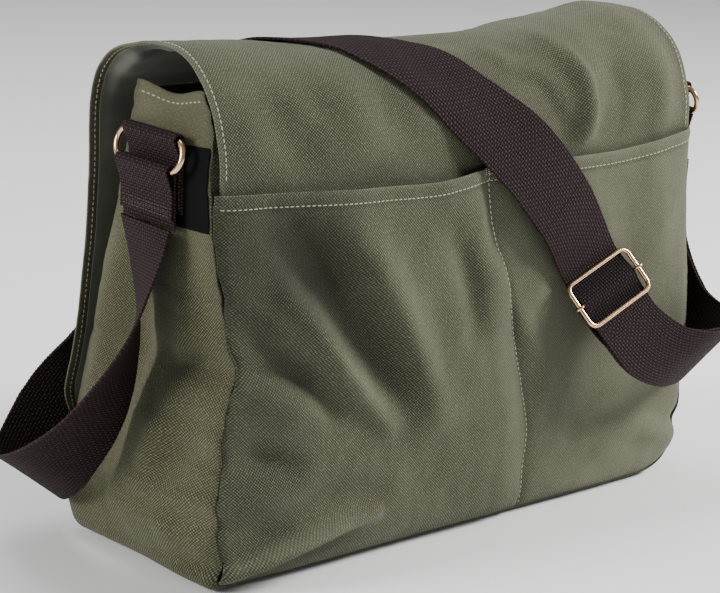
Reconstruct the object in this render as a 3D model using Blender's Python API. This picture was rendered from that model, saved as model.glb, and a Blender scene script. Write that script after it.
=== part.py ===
"""Canvas messenger bag: double slip pocket on the back, fold-over flap, webbing strap with a slide.

Frame: Z up, the floor is z = 0 under the middle of the base, the slip pocket faces -Y, the flap
hangs down the +Y side, the strap is anchored on the two gussets at -X and +X.
Lengths below are millimetres; MM turns them into metres where a mesh is made.
"""
import math

import bpy
from mathutils import Vector

MM = 0.001

# ---------------------------------------------------------------- sheet goods and clearances
CANVAS = 2.0            # body canvas with its turned seams
SHELL = 1.2             # outer canvas of the flap
FLAP_LINING = 0.5
WEBBING = 1.5
WEBBING_HALF = 25.0     # 50 mm webbing
POCKET_CLOTH = 1.6
LINING = 1.0
LABEL = 1.0
GAP = 0.3               # air left between neighbouring pieces

# ---------------------------------------------------------------- body
BACK_Y = [(0, -57), (14, -63), (55, -67), (130, -64.5), (196, -58.9), (228, -58.4), (257, -52.6),
          (280, -39)]
FRONT_Y = [(0, 58), (14, 66), (50, 73), (90, 69), (143, 54), (207, 32), (258, 18), (280, 13)]
HALF_X = [(0, 186), (14, 188), (50, 190), (130, 187), (228, 189), (280, 186)]
BASE_RADIUS = 15.0      # rounding of the two bottom corners
LEVELS = [0, 1.5, 4, 8, 14, 20, 28, 40, 55, 72, 90, 110, 130, 150, 170, 190, 207, 218, 228, 238, 248,
          257, 265, 272]
GUSSET_BULGE = 8.0
GUSSET_TOP = 280.0
BACK_TOP = 265.0
FRONT_TOP = 276.0
POCKET_Y = [(14, -65.4), (55, -69.2), (130, -66.8), (180, -63.6), (200, -63.6), (228, -63.6)]
POCKET_BOTTOM = 14.0
POCKET_TOP = 228.0
POCKET_SEAM_X = [(14, 40), (60, 39), (120, 26), (180, 10), (228, 1)]
POCKET_CROWN = 2.5
BOARD = (160.0, 47.0, 2.5)
LINING_TOP = 262.0
LINING_SLACK = 1.6

# ---------------------------------------------------------------- flap, outer face as (y, z)
FLAP = [(-61.5, 196), (-61, 228), (-55.5, 257), (-42, 281), (-14, 297), (20, 298), (50, 286),
        (66, 259), (67, 215), (67, 150), (75, 105), (83, 72), (88, 46)]
FLAP_HALF_X = 185.0
FLAP_CORNER = 38.0
HINGE_Z = 271.0         # back fold line of the flap
FOLD_Z = 257.0          # front fold line of the flap
PIVOT_OUT = 3.8         # fold axes lie this far outside the cloth, just outside the strap

# ---------------------------------------------------------------- anchors and rings
ANCHOR_Y = -12.0
BAR_X = 203.2           # upper bar of each ring, held in the webbing tab
BAR_Z = 255.0
LOWER_BAR_X = 208.0
LOWER_BAR_Z = 238.0
RING_HALF = 33.0
RING_WIRE = 1.75
RING_CLEAR = 0.8

# ---------------------------------------------------------------- strap centre line and width heading
LEFT_DROP = [((-207, -12, 205), (0.05, 1.0, 0.0)),
             ((-208, -13, 182), (0.28, 0.96, -0.1)),
             ((-216, -14, 142), (0.66, 0.74, -0.1)),
             ((-230, 1, 93), (0.95, 0.22, -0.2)),
             ((-240, 36, 56), (0.83, -0.29, -0.48)),
             ((-225, 84, 42), (0.64, -0.42, -0.64)),
             ((-192, 99, 72), (0.76, -0.33, -0.56))]
FLAP_RUN = [(358, -166), (304, -149), (250, -135), (207, -120), (163, -97), (120, -66), (77, -22),
            (62, -5)]   # (distance along the flap's outer face, x)
BACK_RUN = [((22, -69, 235), (0.72, 0.12, 0.68)),
            ((57, -73.5, 197), (0.76, 0.08, 0.63)),
            ((70, -74.5, 178), (0.86, 0.05, 0.50))]
SLIDE_AT = (91.5, -81.7, 143.3)
SLIDE_ALONG = (0.49, -0.346, -0.80)
SLIDE_ACROSS = (0.93, 0.01, 0.366)
SLIDE_STRAIGHT = (-24, 34)
RIGHT_LOOP = [((131, -99, 98), (0.80, -0.06, 0.60)),
              ((162, -102, 89), (0.62, -0.26, 0.74)),
              ((200, -88.5, 86), (0.51, -0.42, 0.74)),
              ((218, -62, 89), (0.42, -0.68, 0.60)),
              ((216, -30, 112), (0.28, -0.92, 0.30)),
              ((211, -14, 155), (0.0, -1.0, 0.05)),
              ((210, -12, 182), (0.0, -1.0, 0.02)),
              ((210, -12, 205), (0.0, -1.0, 0.0))]
STRAP_COLUMNS = 5
STRAP_STEP = 3.0        # sampling of the strap's path
STRAP_REST = 0.8        # air under the strap where it lies on the flap
LAYER_STEP = 2.3        # pitch of the two strap layers in the right loop

# ---------------------------------------------------------------- slide
FRAME_HALF = (28.2, 15.0)
FRAME_CORNER = 5.0
FRAME_WIRE = 1.5
FRAME_RISE = 2.55       # frame plane above the strap's mid surface
BAR_WIRE = 0.8
BAR_DEPTH = 6.3         # bar below the frame plane
EYE_RADIUS = 2.6
SEWN_LENGTH = 17.0

# ---------------------------------------------------------------- closures
SNAP_X = 110.0
SNAP_Z = 84.0
SNAP_RADIUS = 9.0

COLOURS = {
    "canvas": ((0.165, 0.170, 0.105), 0.92, 0.0),
    "canvas_pocket": ((0.150, 0.157, 0.100), 0.92, 0.0),
    "canvas_gusset": ((0.175, 0.170, 0.095), 0.92, 0.0),
    "lining": ((0.035, 0.034, 0.030), 0.85, 0.0),
    "flap_lining": ((0.085, 0.088, 0.072), 0.75, 0.0),
    "webbing": ((0.050, 0.030, 0.032), 0.85, 0.0),
    "label": ((0.006, 0.006, 0.006), 0.8, 0.0),
    "board": ((0.22, 0.17, 0.11), 0.8, 0.0),
    "brass": ((0.62, 0.47, 0.34), 0.28, 1.0),
    "snap": ((0.50, 0.44, 0.34), 0.35, 1.0),
}


# ================================================================ scene and materials
def clear_scene():
    for obj in list(bpy.data.objects):
        bpy.data.objects.remove(obj, do_unlink=True)
    for block in (bpy.data.meshes, bpy.data.materials):
        for item in list(block):
            block.remove(item)


def material(name, kind):
    colour, roughness, metallic = COLOURS[kind]
    mat = bpy.data.materials.new(name)
    mat.use_nodes = True
    shader = mat.node_tree.nodes["Principled BSDF"]
    shader.inputs["Base Color"].default_value = (*colour, 1.0)
    shader.inputs["Roughness"].default_value = roughness
    shader.inputs["Metallic"].default_value = metallic
    mat.diffuse_color = (*colour, 1.0)
    return mat


def make(name, kind, verts, faces, origin=(0, 0, 0), smooth=True):
    """One named object with its own material; origin is in millimetres."""
    base = Vector(origin)
    mesh = bpy.data.meshes.new(name)
    mesh.from_pydata([(Vector(v) - base) * MM for v in verts], [], faces)
    mesh.validate()
    mesh.materials.append(material(name, kind))
    for poly in mesh.polygons:
        poly.use_smooth = smooth
    obj = bpy.data.objects.new(name, mesh)
    obj.location = base * MM
    bpy.context.collection.objects.link(obj)
    return obj


# ================================================================ curves
def catmull(a, b, c, d, t):
    return (b * 2 + (c - a) * t + (a * 2 - b * 5 + c * 4 - d) * t * t
            + (b * 3 - a - c * 3 + d) * t ** 3) * 0.5


def profile(knots, z):
    """Smooth value at z through (z, value) knots."""
    xs = [k[0] for k in knots]
    ys = [k[1] for k in knots]
    z = min(max(z, xs[0]), xs[-1])
    i = max(n for n in range(len(xs) - 1) if z >= xs[n])
    step = xs[i + 1] - xs[i]

    def slope(n):
        lo = max(n - 1, 0)
        hi = min(n + 1, len(xs) - 1)
        return (ys[hi] - ys[lo]) / (xs[hi] - xs[lo])

    t = (z - xs[i]) / step
    m0 = slope(i) * step
    m1 = slope(i + 1) * step
    return ((2 * t ** 3 - 3 * t ** 2 + 1) * ys[i] + (t ** 3 - 2 * t ** 2 + t) * m0
            + (3 * t ** 2 - 2 * t ** 3) * ys[i + 1] + (t ** 3 - t ** 2) * m1)


def spline(points, steps):
    """Dense points through the given Vectors."""
    ends = [points[0] * 2 - points[1]] + list(points) + [points[-1] * 2 - points[-2]]
    dense = []
    for i in range(len(points) - 1):
        for n in range(steps):
            dense.append(catmull(*ends[i:i + 4], n / steps))
    dense.append(points[-1].copy())
    return dense


class Path:
    """A dense polyline read by distance along it."""

    def __init__(self, points):
        self.points = points
        self.at = [0.0]
        for a, b in zip(points, points[1:]):
            self.at.append(self.at[-1] + (b - a).length)
        self.length = self.at[-1]

    def point(self, s):
        s = min(max(s, 0.0), self.length)
        lo = 0
        hi = len(self.at) - 1
        while hi - lo > 1:
            mid = (lo + hi) // 2
            if self.at[mid] <= s:
                lo = mid
            else:
                hi = mid
        span = self.at[hi] - self.at[lo]
        return self.points[lo].lerp(self.points[hi], (s - self.at[lo]) / span)

    def tangent(self, s):
        return (self.point(s + 1.0) - self.point(s - 1.0)).normalized()

    def where(self, test):
        """First distance at which test(point) turns positive."""
        lo = next(i for i, p in enumerate(self.points) if test(p) > 0)
        a, b = self.at[lo - 1], self.at[lo]
        for _ in range(40):
            mid = (a + b) / 2
            if test(self.point(mid)) > 0:
                b = mid
            else:
                a = mid
        return (a + b) / 2


# ================================================================ solids
def grid_normals(grid):
    rows = len(grid)
    cols = len(grid[0])
    out = []
    for i in range(rows):
        line = []
        for j in range(cols):
            du = grid[min(i + 1, rows - 1)][j] - grid[max(i - 1, 0)][j]
            dv = grid[i][min(j + 1, cols - 1)] - grid[i][max(j - 1, 0)]
            line.append(du.cross(dv).normalized())
        out.append(line)
    return out


def sheet(name, kind, grid, near, far, origin=(0, 0, 0), normals=None):
    """Closed cloth solid between two offsets, near and far, along the grid's normals."""
    rows = len(grid)
    cols = len(grid[0])
    normals = normals or grid_normals(grid)
    verts = []
    for off in (near, far):
        for i in range(rows):
            for j in range(cols):
                verts.append(grid[i][j] + normals[i][j] * off)
    flip = far < near
    faces = []

    def quad(a, b, c, d):
        faces.append((a, b, c, d) if not flip else (d, c, b, a))

    top = rows * cols

    def at(i, j):
        return i * cols + j

    for i in range(rows - 1):
        for j in range(cols - 1):
            quad(at(i, j), at(i, j + 1), at(i + 1, j + 1), at(i + 1, j))
            quad(top + at(i + 1, j), top + at(i + 1, j + 1), top + at(i, j + 1), top + at(i, j))
    for j in range(cols - 1):
        quad(at(0, j + 1), at(0, j), top + at(0, j), top + at(0, j + 1))
        quad(at(rows - 1, j), at(rows - 1, j + 1), top + at(rows - 1, j + 1), top + at(rows - 1, j))
    for i in range(rows - 1):
        quad(at(i, 0), at(i + 1, 0), top + at(i + 1, 0), top + at(i, 0))
        quad(at(i + 1, cols - 1), at(i, cols - 1), top + at(i, cols - 1), top + at(i + 1, cols - 1))
    return make(name, kind, verts, faces, origin)


def tube(name, kind, points, radius, closed=False, sides=10, origin=(0, 0, 0)):
    """Round wire swept along points, its section carried along without twist."""
    count = len(points)
    rings = []
    normal = None
    for i, p in enumerate(points):
        before = points[i - 1] if closed or i > 0 else p
        after = points[(i + 1) % count] if closed or i < count - 1 else p
        tangent = (after - before).normalized()
        if normal is None:
            pick = Vector((1, 0, 0)) if abs(tangent.x) < 0.7 else Vector((0, 0, 1))
            normal = tangent.cross(pick).normalized()
        normal = (normal - tangent * normal.dot(tangent)).normalized()
        side = tangent.cross(normal)
        rings.append([p + (normal * math.cos(a) + side * math.sin(a)) * radius
                      for a in (2 * math.pi * k / sides for k in range(sides))])
    verts = [v for ring in rings for v in ring]
    faces = []
    for i in range(count if closed else count - 1):
        a = i * sides
        b = ((i + 1) % count) * sides
        for k in range(sides):
            m = (k + 1) % sides
            faces.append((a + k, a + m, b + m, b + k))
    if not closed:
        faces.append(tuple(reversed(range(sides))))
        faces.append(tuple(range((count - 1) * sides, count * sides)))
    return make(name, kind, verts, faces, origin)


def lathe(name, kind, outline, centre, axis, segments=32, origin=(0, 0, 0)):
    """Solid of revolution; outline is (radius, height) pairs from axis to axis."""
    axis = Vector(axis).normalized()
    across = axis.cross(Vector((1, 0, 0))).normalized()
    third = axis.cross(across)
    centre = Vector(centre)
    verts = []
    index = []
    for radius, height in outline:
        if radius < 1e-6:
            index.append([len(verts)] * segments)
            verts.append(centre + axis * height)
            continue
        index.append([len(verts) + k for k in range(segments)])
        for k in range(segments):
            a = 2 * math.pi * k / segments
            verts.append(centre + axis * height
                         + (across * math.cos(a) + third * math.sin(a)) * radius)
    faces = []
    for low, high in zip(index, index[1:]):
        for k in range(segments):
            m = (k + 1) % segments
            ring = [low[k], low[m], high[m], high[k]]
            faces.append(tuple(dict.fromkeys(ring)))
    return make(name, kind, verts, faces, origin, smooth=False)


def tub(name, kind, outer, inner):
    """Open-topped vessel from closed loops listed bottom to top."""
    n = len(outer[0])
    loops = outer + list(reversed(inner))
    verts = [v for loop in loops for v in loop]
    faces = [tuple(reversed(range(n)))]
    for r in range(len(loops) - 1):
        for k in range(n):
            m = (k + 1) % n
            faces.append((r * n + k, r * n + m, (r + 1) * n + m, (r + 1) * n + k))
    faces.append(tuple(range((len(loops) - 1) * n, len(loops) * n)))
    return make(name, kind, verts, faces)


# ================================================================ body of the bag
def outline_half(z, inset=0.0):
    """Half width of the front view outline at height z, with the rounded bottom corner."""
    half = profile(HALF_X, z)
    if z >= BASE_RADIUS:
        return half - inset
    reach = (BASE_RADIUS - inset) ** 2 - (BASE_RADIUS - z) ** 2
    return half - BASE_RADIUS + math.sqrt(max(reach, 0.0))


def heights(low, high):
    """The shared levels between two heights, so that neighbouring pieces bend together."""
    return [low] + [z for z in LEVELS if low + 0.5 < z < high - 0.5] + [high]


def panel_grid(y_of, low, high, columns):
    rows = []
    for z in heights(low, high):
        half = outline_half(z)
        rows.append([Vector((half * (2 * j / columns - 1), y_of(half * (2 * j / columns - 1), z), z))
                     for j in range(columns + 1)])
    return rows


def pocket_y(x, z):
    """Outer face of the slip pocket: two shallow pillows each side of the dividing seam."""
    seam = profile(POCKET_SEAM_X, z)
    half = outline_half(z)
    left, right = (-half, seam) if x < seam else (seam, half)
    across = (x - left) / max(right - left, 1.0)
    up = min(max((z - POCKET_BOTTOM) / (POCKET_TOP - POCKET_BOTTOM), 0.0), 1.0)
    crown = POCKET_CROWN * math.sin(math.pi * min(max(across, 0), 1)) ** 2
    return profile(POCKET_Y, z) - crown * (0.25 + 0.75 * math.sin(math.pi * up) ** 0.5)


def gusset_rows():
    """Rows of the band that runs down one side, under the base and up the other side."""
    stations = []
    for z in reversed(heights(BASE_RADIUS, GUSSET_TOP)):
        stations.append((-profile(HALF_X, z), z))
    corner = profile(HALF_X, 0) - BASE_RADIUS
    for k in range(1, 8):
        a = math.radians(180 + 90 * k / 8)
        reach = outline_half(BASE_RADIUS + BASE_RADIUS * math.sin(a))
        stations.append((-reach, BASE_RADIUS * (1 + math.sin(a))))
    side = list(stations)
    for k in range(9):
        stations.append((corner * (k / 4 - 1), 0.0))
    stations += [(-x, z) for x, z in reversed(side)]
    return stations


def gusset_bulge(v, z):
    fade = min(max((z - BASE_RADIUS) / 70.0, 0.0), 1.0)
    return GUSSET_BULGE * (1 - (2 * v - 1) ** 2) * fade


def inside_of(knots, z, depth):
    """Depth coordinate a given thickness inside a leaning panel."""
    slope = (profile(knots, z + 2) - profile(knots, z - 2)) / 4
    inward = 1 if knots is BACK_Y else -1
    return profile(knots, z) + inward * depth * math.hypot(1.0, slope * 1.4)


def gusset_point(x, z, v):
    back = inside_of(BACK_Y, z, CANVAS + GAP)
    front = inside_of(FRONT_Y, z, CANVAS + GAP)
    side = -1 if x < 0 else 1
    out = gusset_bulge(v, z) * (side if z > 0 else 0)
    return Vector((x + out, back + (front - back) * v, z))


def build_body():
    band = [[gusset_point(x, z, j / 8) for j in range(9)] for x, z in gusset_rows()]
    sheet("gusset_band", "canvas_gusset", band, 0.0, CANVAS)
    back = panel_grid(lambda x, z: profile(BACK_Y, z), 0.0, BACK_TOP, 12)
    sheet("back_panel", "canvas", back, 0.0, CANVAS)
    front = panel_grid(lambda x, z: profile(FRONT_Y, z), 0.0, FRONT_TOP, 12)
    sheet("front_panel", "canvas", front, 0.0, -CANVAS)
    pocket = panel_grid(pocket_y, POCKET_BOTTOM, POCKET_TOP, 20)
    sheet("back_pocket", "canvas_pocket", pocket, 0.0, POCKET_CLOTH)


def lining_loop(z, inset):
    """Rounded rectangle inside the shell at height z."""
    half = outline_half(z, CANVAS + LINING_SLACK) - inset
    back = inside_of(BACK_Y, z, CANVAS + LINING_SLACK) + inset
    front = inside_of(FRONT_Y, z, CANVAS + LINING_SLACK) - inset
    radius = 10.0 - inset
    corners = [(half, front, 0), (-half, front, 90), (-half, back, 180), (half, back, 270)]
    loop = []
    for x, y, start in corners:
        cx = x - math.copysign(radius, x)
        cy = y - math.copysign(radius, y)
        for k in range(5):
            a = math.radians(start + 90 * k / 4)
            loop.append(Vector((cx + radius * math.cos(a), cy + radius * math.sin(a), z)))
    return loop


def build_inside():
    board_x, board_y, board_z = BOARD
    low = CANVAS + GAP
    verts = [Vector((sx * board_x, sy * board_y, z)) for z in (low, low + board_z)
             for sx, sy in ((-1, -1), (1, -1), (1, 1), (-1, 1))]
    faces = [(3, 2, 1, 0), (4, 5, 6, 7), (0, 1, 5, 4), (1, 2, 6, 5), (2, 3, 7, 6), (3, 0, 4, 7)]
    make("base_board", "board", verts, faces, smooth=False)
    floor = low + board_z + GAP
    levels = [floor, floor + 3, 14, 25, 50, 90, 130, 170, 210, 240, LINING_TOP]
    outer = [lining_loop(z, 0.0) for z in levels]
    inner = [lining_loop(max(z, floor + LINING), LINING) for z in levels]
    tub("body_lining", "lining", outer, inner)


def build_label():
    rows = []
    for k in range(9):
        z = 207.0 + 45.0 * k / 8
        x = -profile(HALF_X, z)
        rows.append([gusset_point(x, z, 0.03 + 0.27 * j / 4) for j in range(5)])
    sheet("side_label", "label", rows, GAP, GAP + LABEL)


# ================================================================ flap
def flap_path():
    return Path(spline([Vector((0, y, z)) for y, z in FLAP], 16))


def flap_frame(path, s):
    """Point on the flap's outer face and the outward normal, in the YZ plane."""
    p = path.point(s)
    t = path.tangent(s)
    return p, Vector((0, -t.z, t.y))


def flap_half(path, s):
    """Half width of the flap, rounded off towards its two free corners."""
    left = path.length - s
    if left >= FLAP_CORNER:
        return FLAP_HALF_X
    reach = FLAP_CORNER ** 2 - (FLAP_CORNER - left) ** 2
    return FLAP_HALF_X - FLAP_CORNER + math.sqrt(max(reach, 0.0))


def flap_grid(path, start, end, rows, columns):
    """Points of the flap's outer face between two distances, and the inward normals there."""
    grid = []
    normals = []
    for i in range(rows + 1):
        t = i / rows
        s = start + (end - start) * t
        if end > path.length - 1:
            s = start + (end - start) * (1 - (1 - t) ** 1.6)
        p, n = flap_frame(path, s)
        half = flap_half(path, s)
        grid.append([Vector((half * (2 * j / columns - 1), p.y, p.z)) for j in range(columns + 1)])
        normals.append([-n] * (columns + 1))
    return grid, normals


def crossing(path, height, front):
    """Distance along the flap path at which its front or back run passes a height."""
    if front:
        return path.where(lambda p: height - p.z if p.y > 50 else -1)
    return path.where(lambda p: p.z - height)


def pivot(path, s):
    p, n = flap_frame(path, s)
    return p + n * PIVOT_OUT


def build_flap(path, hinge, fold):
    back = flap_grid(path, 0.0, hinge - GAP / 2, 8, 8)
    top = flap_grid(path, hinge + GAP / 2, fold - GAP / 2, 18, 8)
    front = flap_grid(path, fold + GAP / 2, path.length, 20, 12)
    at_hinge = pivot(path, hinge)
    at_fold = pivot(path, fold)
    thick = SHELL + GAP + FLAP_LINING
    for name, kind, (grid, normals), near, far, origin in (
            ("flap_back", "canvas", back, 0.0, thick, (0, 0, 0)),
            ("flap_top", "canvas", top, 0.0, SHELL, at_hinge),
            ("flap_front", "canvas", front, 0.0, SHELL, at_fold),
            ("flap_lining_top", "flap_lining", top, SHELL + GAP, thick, at_hinge),
            ("flap_lining_front", "flap_lining", front, SHELL + GAP, thick, at_fold)):
        sheet(name, kind, grid, near, far, origin, normals)


def build_snaps(path, fold):
    at_fold = pivot(path, fold)
    s = crossing(path, SNAP_Z, True)
    p, n = flap_frame(path, s)
    inner = p - n * (SHELL + FLAP_LINING + 2 * GAP)
    slope = (profile(FRONT_Y, SNAP_Z + 5) - profile(FRONT_Y, SNAP_Z - 5)) / 10
    out = Vector((0, 1, -slope)).normalized()
    for side, word in ((-1, "left"), (1, "right")):
        face = Vector((side * SNAP_X, profile(FRONT_Y, SNAP_Z), SNAP_Z))
        socket = [(0, 0), (SNAP_RADIUS, 0), (SNAP_RADIUS, 2.2), (SNAP_RADIUS - 0.8, 3.0),
                  (4.2, 3.0), (4.2, 1.2), (0, 1.2)]
        lathe(f"snap_socket_{word}", "snap", socket, face + out * GAP, out)
        washer = [(0, 0), (SNAP_RADIUS - 1, 0), (SNAP_RADIUS - 1, 0.8), (0, 0.8)]
        lathe(f"snap_washer_{word}", "snap", washer, face - out * (CANVAS + GAP), -out)
        stud = [(0, 0), (SNAP_RADIUS, 0), (SNAP_RADIUS, 1.2), (SNAP_RADIUS - 0.8, 1.8), (3.2, 1.8),
                (3.2, 3.2), (0, 3.2)]
        centre = Vector((side * SNAP_X, inner.y, inner.z))
        lathe(f"snap_stud_{word}", "snap", stud, centre, -n, origin=at_fold)


# ================================================================ anchors
def anchor_ring(side):
    """Closed round-ended ring hanging from the tab's fold."""
    top = Vector((side * BAR_X, ANCHOR_Y, BAR_Z))
    low = Vector((side * LOWER_BAR_X, ANCHOR_Y, LOWER_BAR_Z))
    centre = (top + low) / 2
    up = (top - low) / 2
    radius = up.length
    straight = RING_HALF - RING_WIRE - radius
    points = []
    for end in (1, -1):
        for k in range(9):
            a = math.radians(-90 + 180 * k / 8)
            points.append(centre + Vector((0, end * (straight + radius * math.cos(a)), 0))
                          + up * math.sin(a) * end)
    return points


def folded_webbing(path_xz, name, origin):
    """Webbing folded in the XZ plane and 50 mm wide along Y."""
    line = Path(spline([Vector((x, 0, z)) for x, z in path_xz], 6))
    rows = []
    count = 44
    for i in range(count + 1):
        p = line.point(line.length * i / count)
        rows.append([Vector((p.x, ANCHOR_Y + WEBBING_HALF * (j - 1), p.z)) for j in range(3)])
    return sheet(name, "webbing", rows, WEBBING / 2, -WEBBING / 2, origin)


def build_anchor(side, word):
    pivot_at = (side * BAR_X, ANCHOR_Y, BAR_Z)
    tube(f"ring_{word}", "brass", anchor_ring(side), RING_WIRE, closed=True, sides=12,
         origin=pivot_at)
    bend = RING_WIRE + RING_CLEAR + WEBBING / 2
    near = BAR_X - bend
    far = near + WEBBING + GAP
    tab = [(near, 216), (near, 228), (near, 240), (near, 250)]
    tab += [(BAR_X - bend * math.cos(a), BAR_Z + bend * math.sin(a))
            for a in (math.radians(d) for d in range(0, 200, 20))]
    tab += [(far + 1.2, 247.5), (far, 242), (far, 230), (far, 218)]
    folded_webbing([(side * x, z) for x, z in tab], f"tab_{word}", (0, 0, 0))
    near = LOWER_BAR_X - bend
    far = near + WEBBING + GAP + 0.2
    end = [(near, 206), (near, 216), (near, 226)]
    end += [(LOWER_BAR_X - bend * math.cos(a), LOWER_BAR_Z + bend * math.sin(a))
            for a in (math.radians(d) for d in range(0, 200, 20))]
    end += [(far + 1.4, 230.5), (far, 225), (far, 216), (far, 212 if side < 0 else 206)]
    folded_webbing([(side * x, z) for x, z in end], f"strap_{word}_end", pivot_at)


# ================================================================ strap
def slide_axes():
    along = Vector(SLIDE_ALONG).normalized()
    across = Vector(SLIDE_ACROSS)
    across = (across - along * across.dot(along)).normalized()
    out = along.cross(across).normalized()
    if out.y > 0:
        out = -out
    return along, across, out


def straight_row(centre, heading):
    heading = Vector(heading).normalized()
    return [Vector(centre) + heading * WEBBING_HALF * (2 * j / (STRAP_COLUMNS - 1) - 1)
            for j in range(STRAP_COLUMNS)]


def flap_rows(path):
    """Strap rows lying on the flap: each column is placed on the curved face."""
    knots = sorted(FLAP_RUN)
    rows = []
    s = knots[-1][0]
    while s >= knots[0][0]:
        x = profile(knots, s)
        lean = (profile(knots, s + 4) - profile(knots, s - 4)) / 8
        size = math.hypot(1.0, lean)
        row = []
        for j in range(STRAP_COLUMNS):
            v = WEBBING_HALF * (2 * j / (STRAP_COLUMNS - 1) - 1)
            p, n = flap_frame(path, s - v * lean / size)
            p = p + n * (STRAP_REST + WEBBING / 2)
            row.append(Vector((x + v / size, p.y, p.z)))
        rows.append(row)
        s -= 12.0
    return rows


class Strap:
    """Dense columns through the key rows; key rows may be unevenly spaced."""

    def __init__(self, rows):
        middle = STRAP_COLUMNS // 2
        at = [0.0]
        for a, b in zip(rows, rows[1:]):
            at.append(at[-1] + (b[middle] - a[middle]).length)
        self.keys = at
        self.columns = [self.fair([row[j] for row in rows]) for j in range(STRAP_COLUMNS)]
        self.last = len(self.columns[0]) - 1

    def fair(self, points):
        """Cubic through points at uneven distances, sampled every STRAP_STEP."""
        at = self.keys
        top = len(points) - 1
        dense = []
        i = 0
        for n in range(int(at[-1] / STRAP_STEP) + 1):
            s = at[-1] * n / int(at[-1] / STRAP_STEP)
            while i < top - 1 and s > at[i + 1]:
                i += 1
            span = at[i + 1] - at[i]
            t = (s - at[i]) / span
            a, b = max(i - 1, 0), min(i + 2, top)
            m0 = (points[i + 1] - points[a]) * (span / (at[i + 1] - at[a]))
            m1 = (points[b] - points[i]) * (span / (at[b] - at[i]))
            dense.append(points[i] * (2 * t ** 3 - 3 * t ** 2 + 1) + m0 * (t ** 3 - 2 * t ** 2 + t)
                         + points[i + 1] * (3 * t ** 2 - 2 * t ** 3) + m1 * (t ** 3 - t ** 2))
        return dense

    def near(self, distance):
        return [distance / self.keys[-1] * self.last] * STRAP_COLUMNS

    def point(self, j, t):
        t = min(max(t, 0.0), self.last)
        i = min(int(t), self.last - 1)
        return self.columns[j][i].lerp(self.columns[j][i + 1], t - i)

    def normal(self, j, t):
        """Surface normal read from the whole strap, so that pieces meet in matching faces."""
        t = min(max(t, 0.5), self.last - 0.5)
        beside = (max(j - 1, 0), min(j + 1, STRAP_COLUMNS - 1))
        along = self.point(j, t + 0.5) - self.point(j, t - 0.5)
        return along.cross(self.point(beside[1], t) - self.point(beside[0], t)).normalized()

    def cut(self, point, normal):
        """Parameter of each column where it first crosses a plane."""
        found = []
        for column in self.columns:
            signs = [(p - point).dot(normal) for p in column]
            i = next(k for k in range(self.last) if signs[k] <= 0 < signs[k + 1])
            found.append(i + signs[i] / (signs[i] - signs[i + 1]))
        return found

    def piece(self, name, start, end, origin=(0, 0, 0), shift=0.0, rows=None):
        """Cloth solid between two cuts, moved along the normal by shift."""
        span = max(end[j] - start[j] for j in range(STRAP_COLUMNS))
        count = rows or max(int(span / 2.6), 4)
        grid = []
        normals = []
        for i in range(count + 1):
            at = [start[j] + (end[j] - start[j]) * i / count for j in range(STRAP_COLUMNS)]
            grid.append([self.point(j, t) for j, t in enumerate(at)])
            normals.append([self.normal(j, t) for j, t in enumerate(at)])
        return sheet(name, "webbing", grid, shift + WEBBING / 2, shift - WEBBING / 2, origin,
                     normals)


def build_strap(path, hinge, fold):
    along, across, _ = slide_axes()
    rows = [straight_row(c, w) for c, w in LEFT_DROP]
    rows += flap_rows(path)
    rows += [straight_row(c, w) for c, w in BACK_RUN]
    low, high = SLIDE_STRAIGHT
    for k in range(6):
        rows.append(straight_row(Vector(SLIDE_AT) + along * (low + (high - low) * k / 5), across))
    slide_last = len(rows) - 1
    rows += [straight_row(c, w) for c, w in RIGHT_LOOP]
    strap = Strap(rows)
    half = GAP / 2

    begin = [0.0] * STRAP_COLUMNS
    finish = [float(strap.last)] * STRAP_COLUMNS
    edge = Vector((-189, 0, 0))
    edge_before = strap.cut(edge - Vector((half, 0, 0)), Vector((1, 0, 0)))
    edge_after = strap.cut(edge + Vector((half, 0, 0)), Vector((1, 0, 0)))
    fold_t = path.tangent(fold)
    fold_p = path.point(fold)
    fold_before = strap.cut(fold_p + fold_t * half, -fold_t)
    fold_after = strap.cut(fold_p - fold_t * half, -fold_t)
    hinge_t = path.tangent(hinge)
    hinge_p = path.point(hinge)
    hinge_before = strap.cut(hinge_p + hinge_t * half, -hinge_t)
    hinge_after = strap.cut(hinge_p - hinge_t * half, -hinge_t)
    strap.piece("strap_left_drop", begin, edge_before)
    strap.piece("strap_front_run", edge_after, fold_before, pivot(path, fold))
    strap.piece("strap_top_run", fold_after, hinge_before, pivot(path, hinge), rows=26)
    strap.piece("strap_back_run", hinge_after, finish)
    strap.piece("strap_right_return", strap.near(strap.keys[slide_last]), finish, shift=-LAYER_STEP)


# ================================================================ slide
def rounded_frame(centre, across, along):
    points = []
    half_w, half_l = FRAME_HALF
    for sw, sl, start in ((1, 1, 0), (-1, 1, 90), (-1, -1, 180), (1, -1, 270)):
        for k in range(5):
            a = math.radians(start + 90 * k / 4)
            u = sw * (half_w - FRAME_CORNER) + FRAME_CORNER * math.cos(a)
            v = sl * (half_l - FRAME_CORNER) + FRAME_CORNER * math.sin(a)
            points.append(centre + across * u + along * v)
    return points


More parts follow.
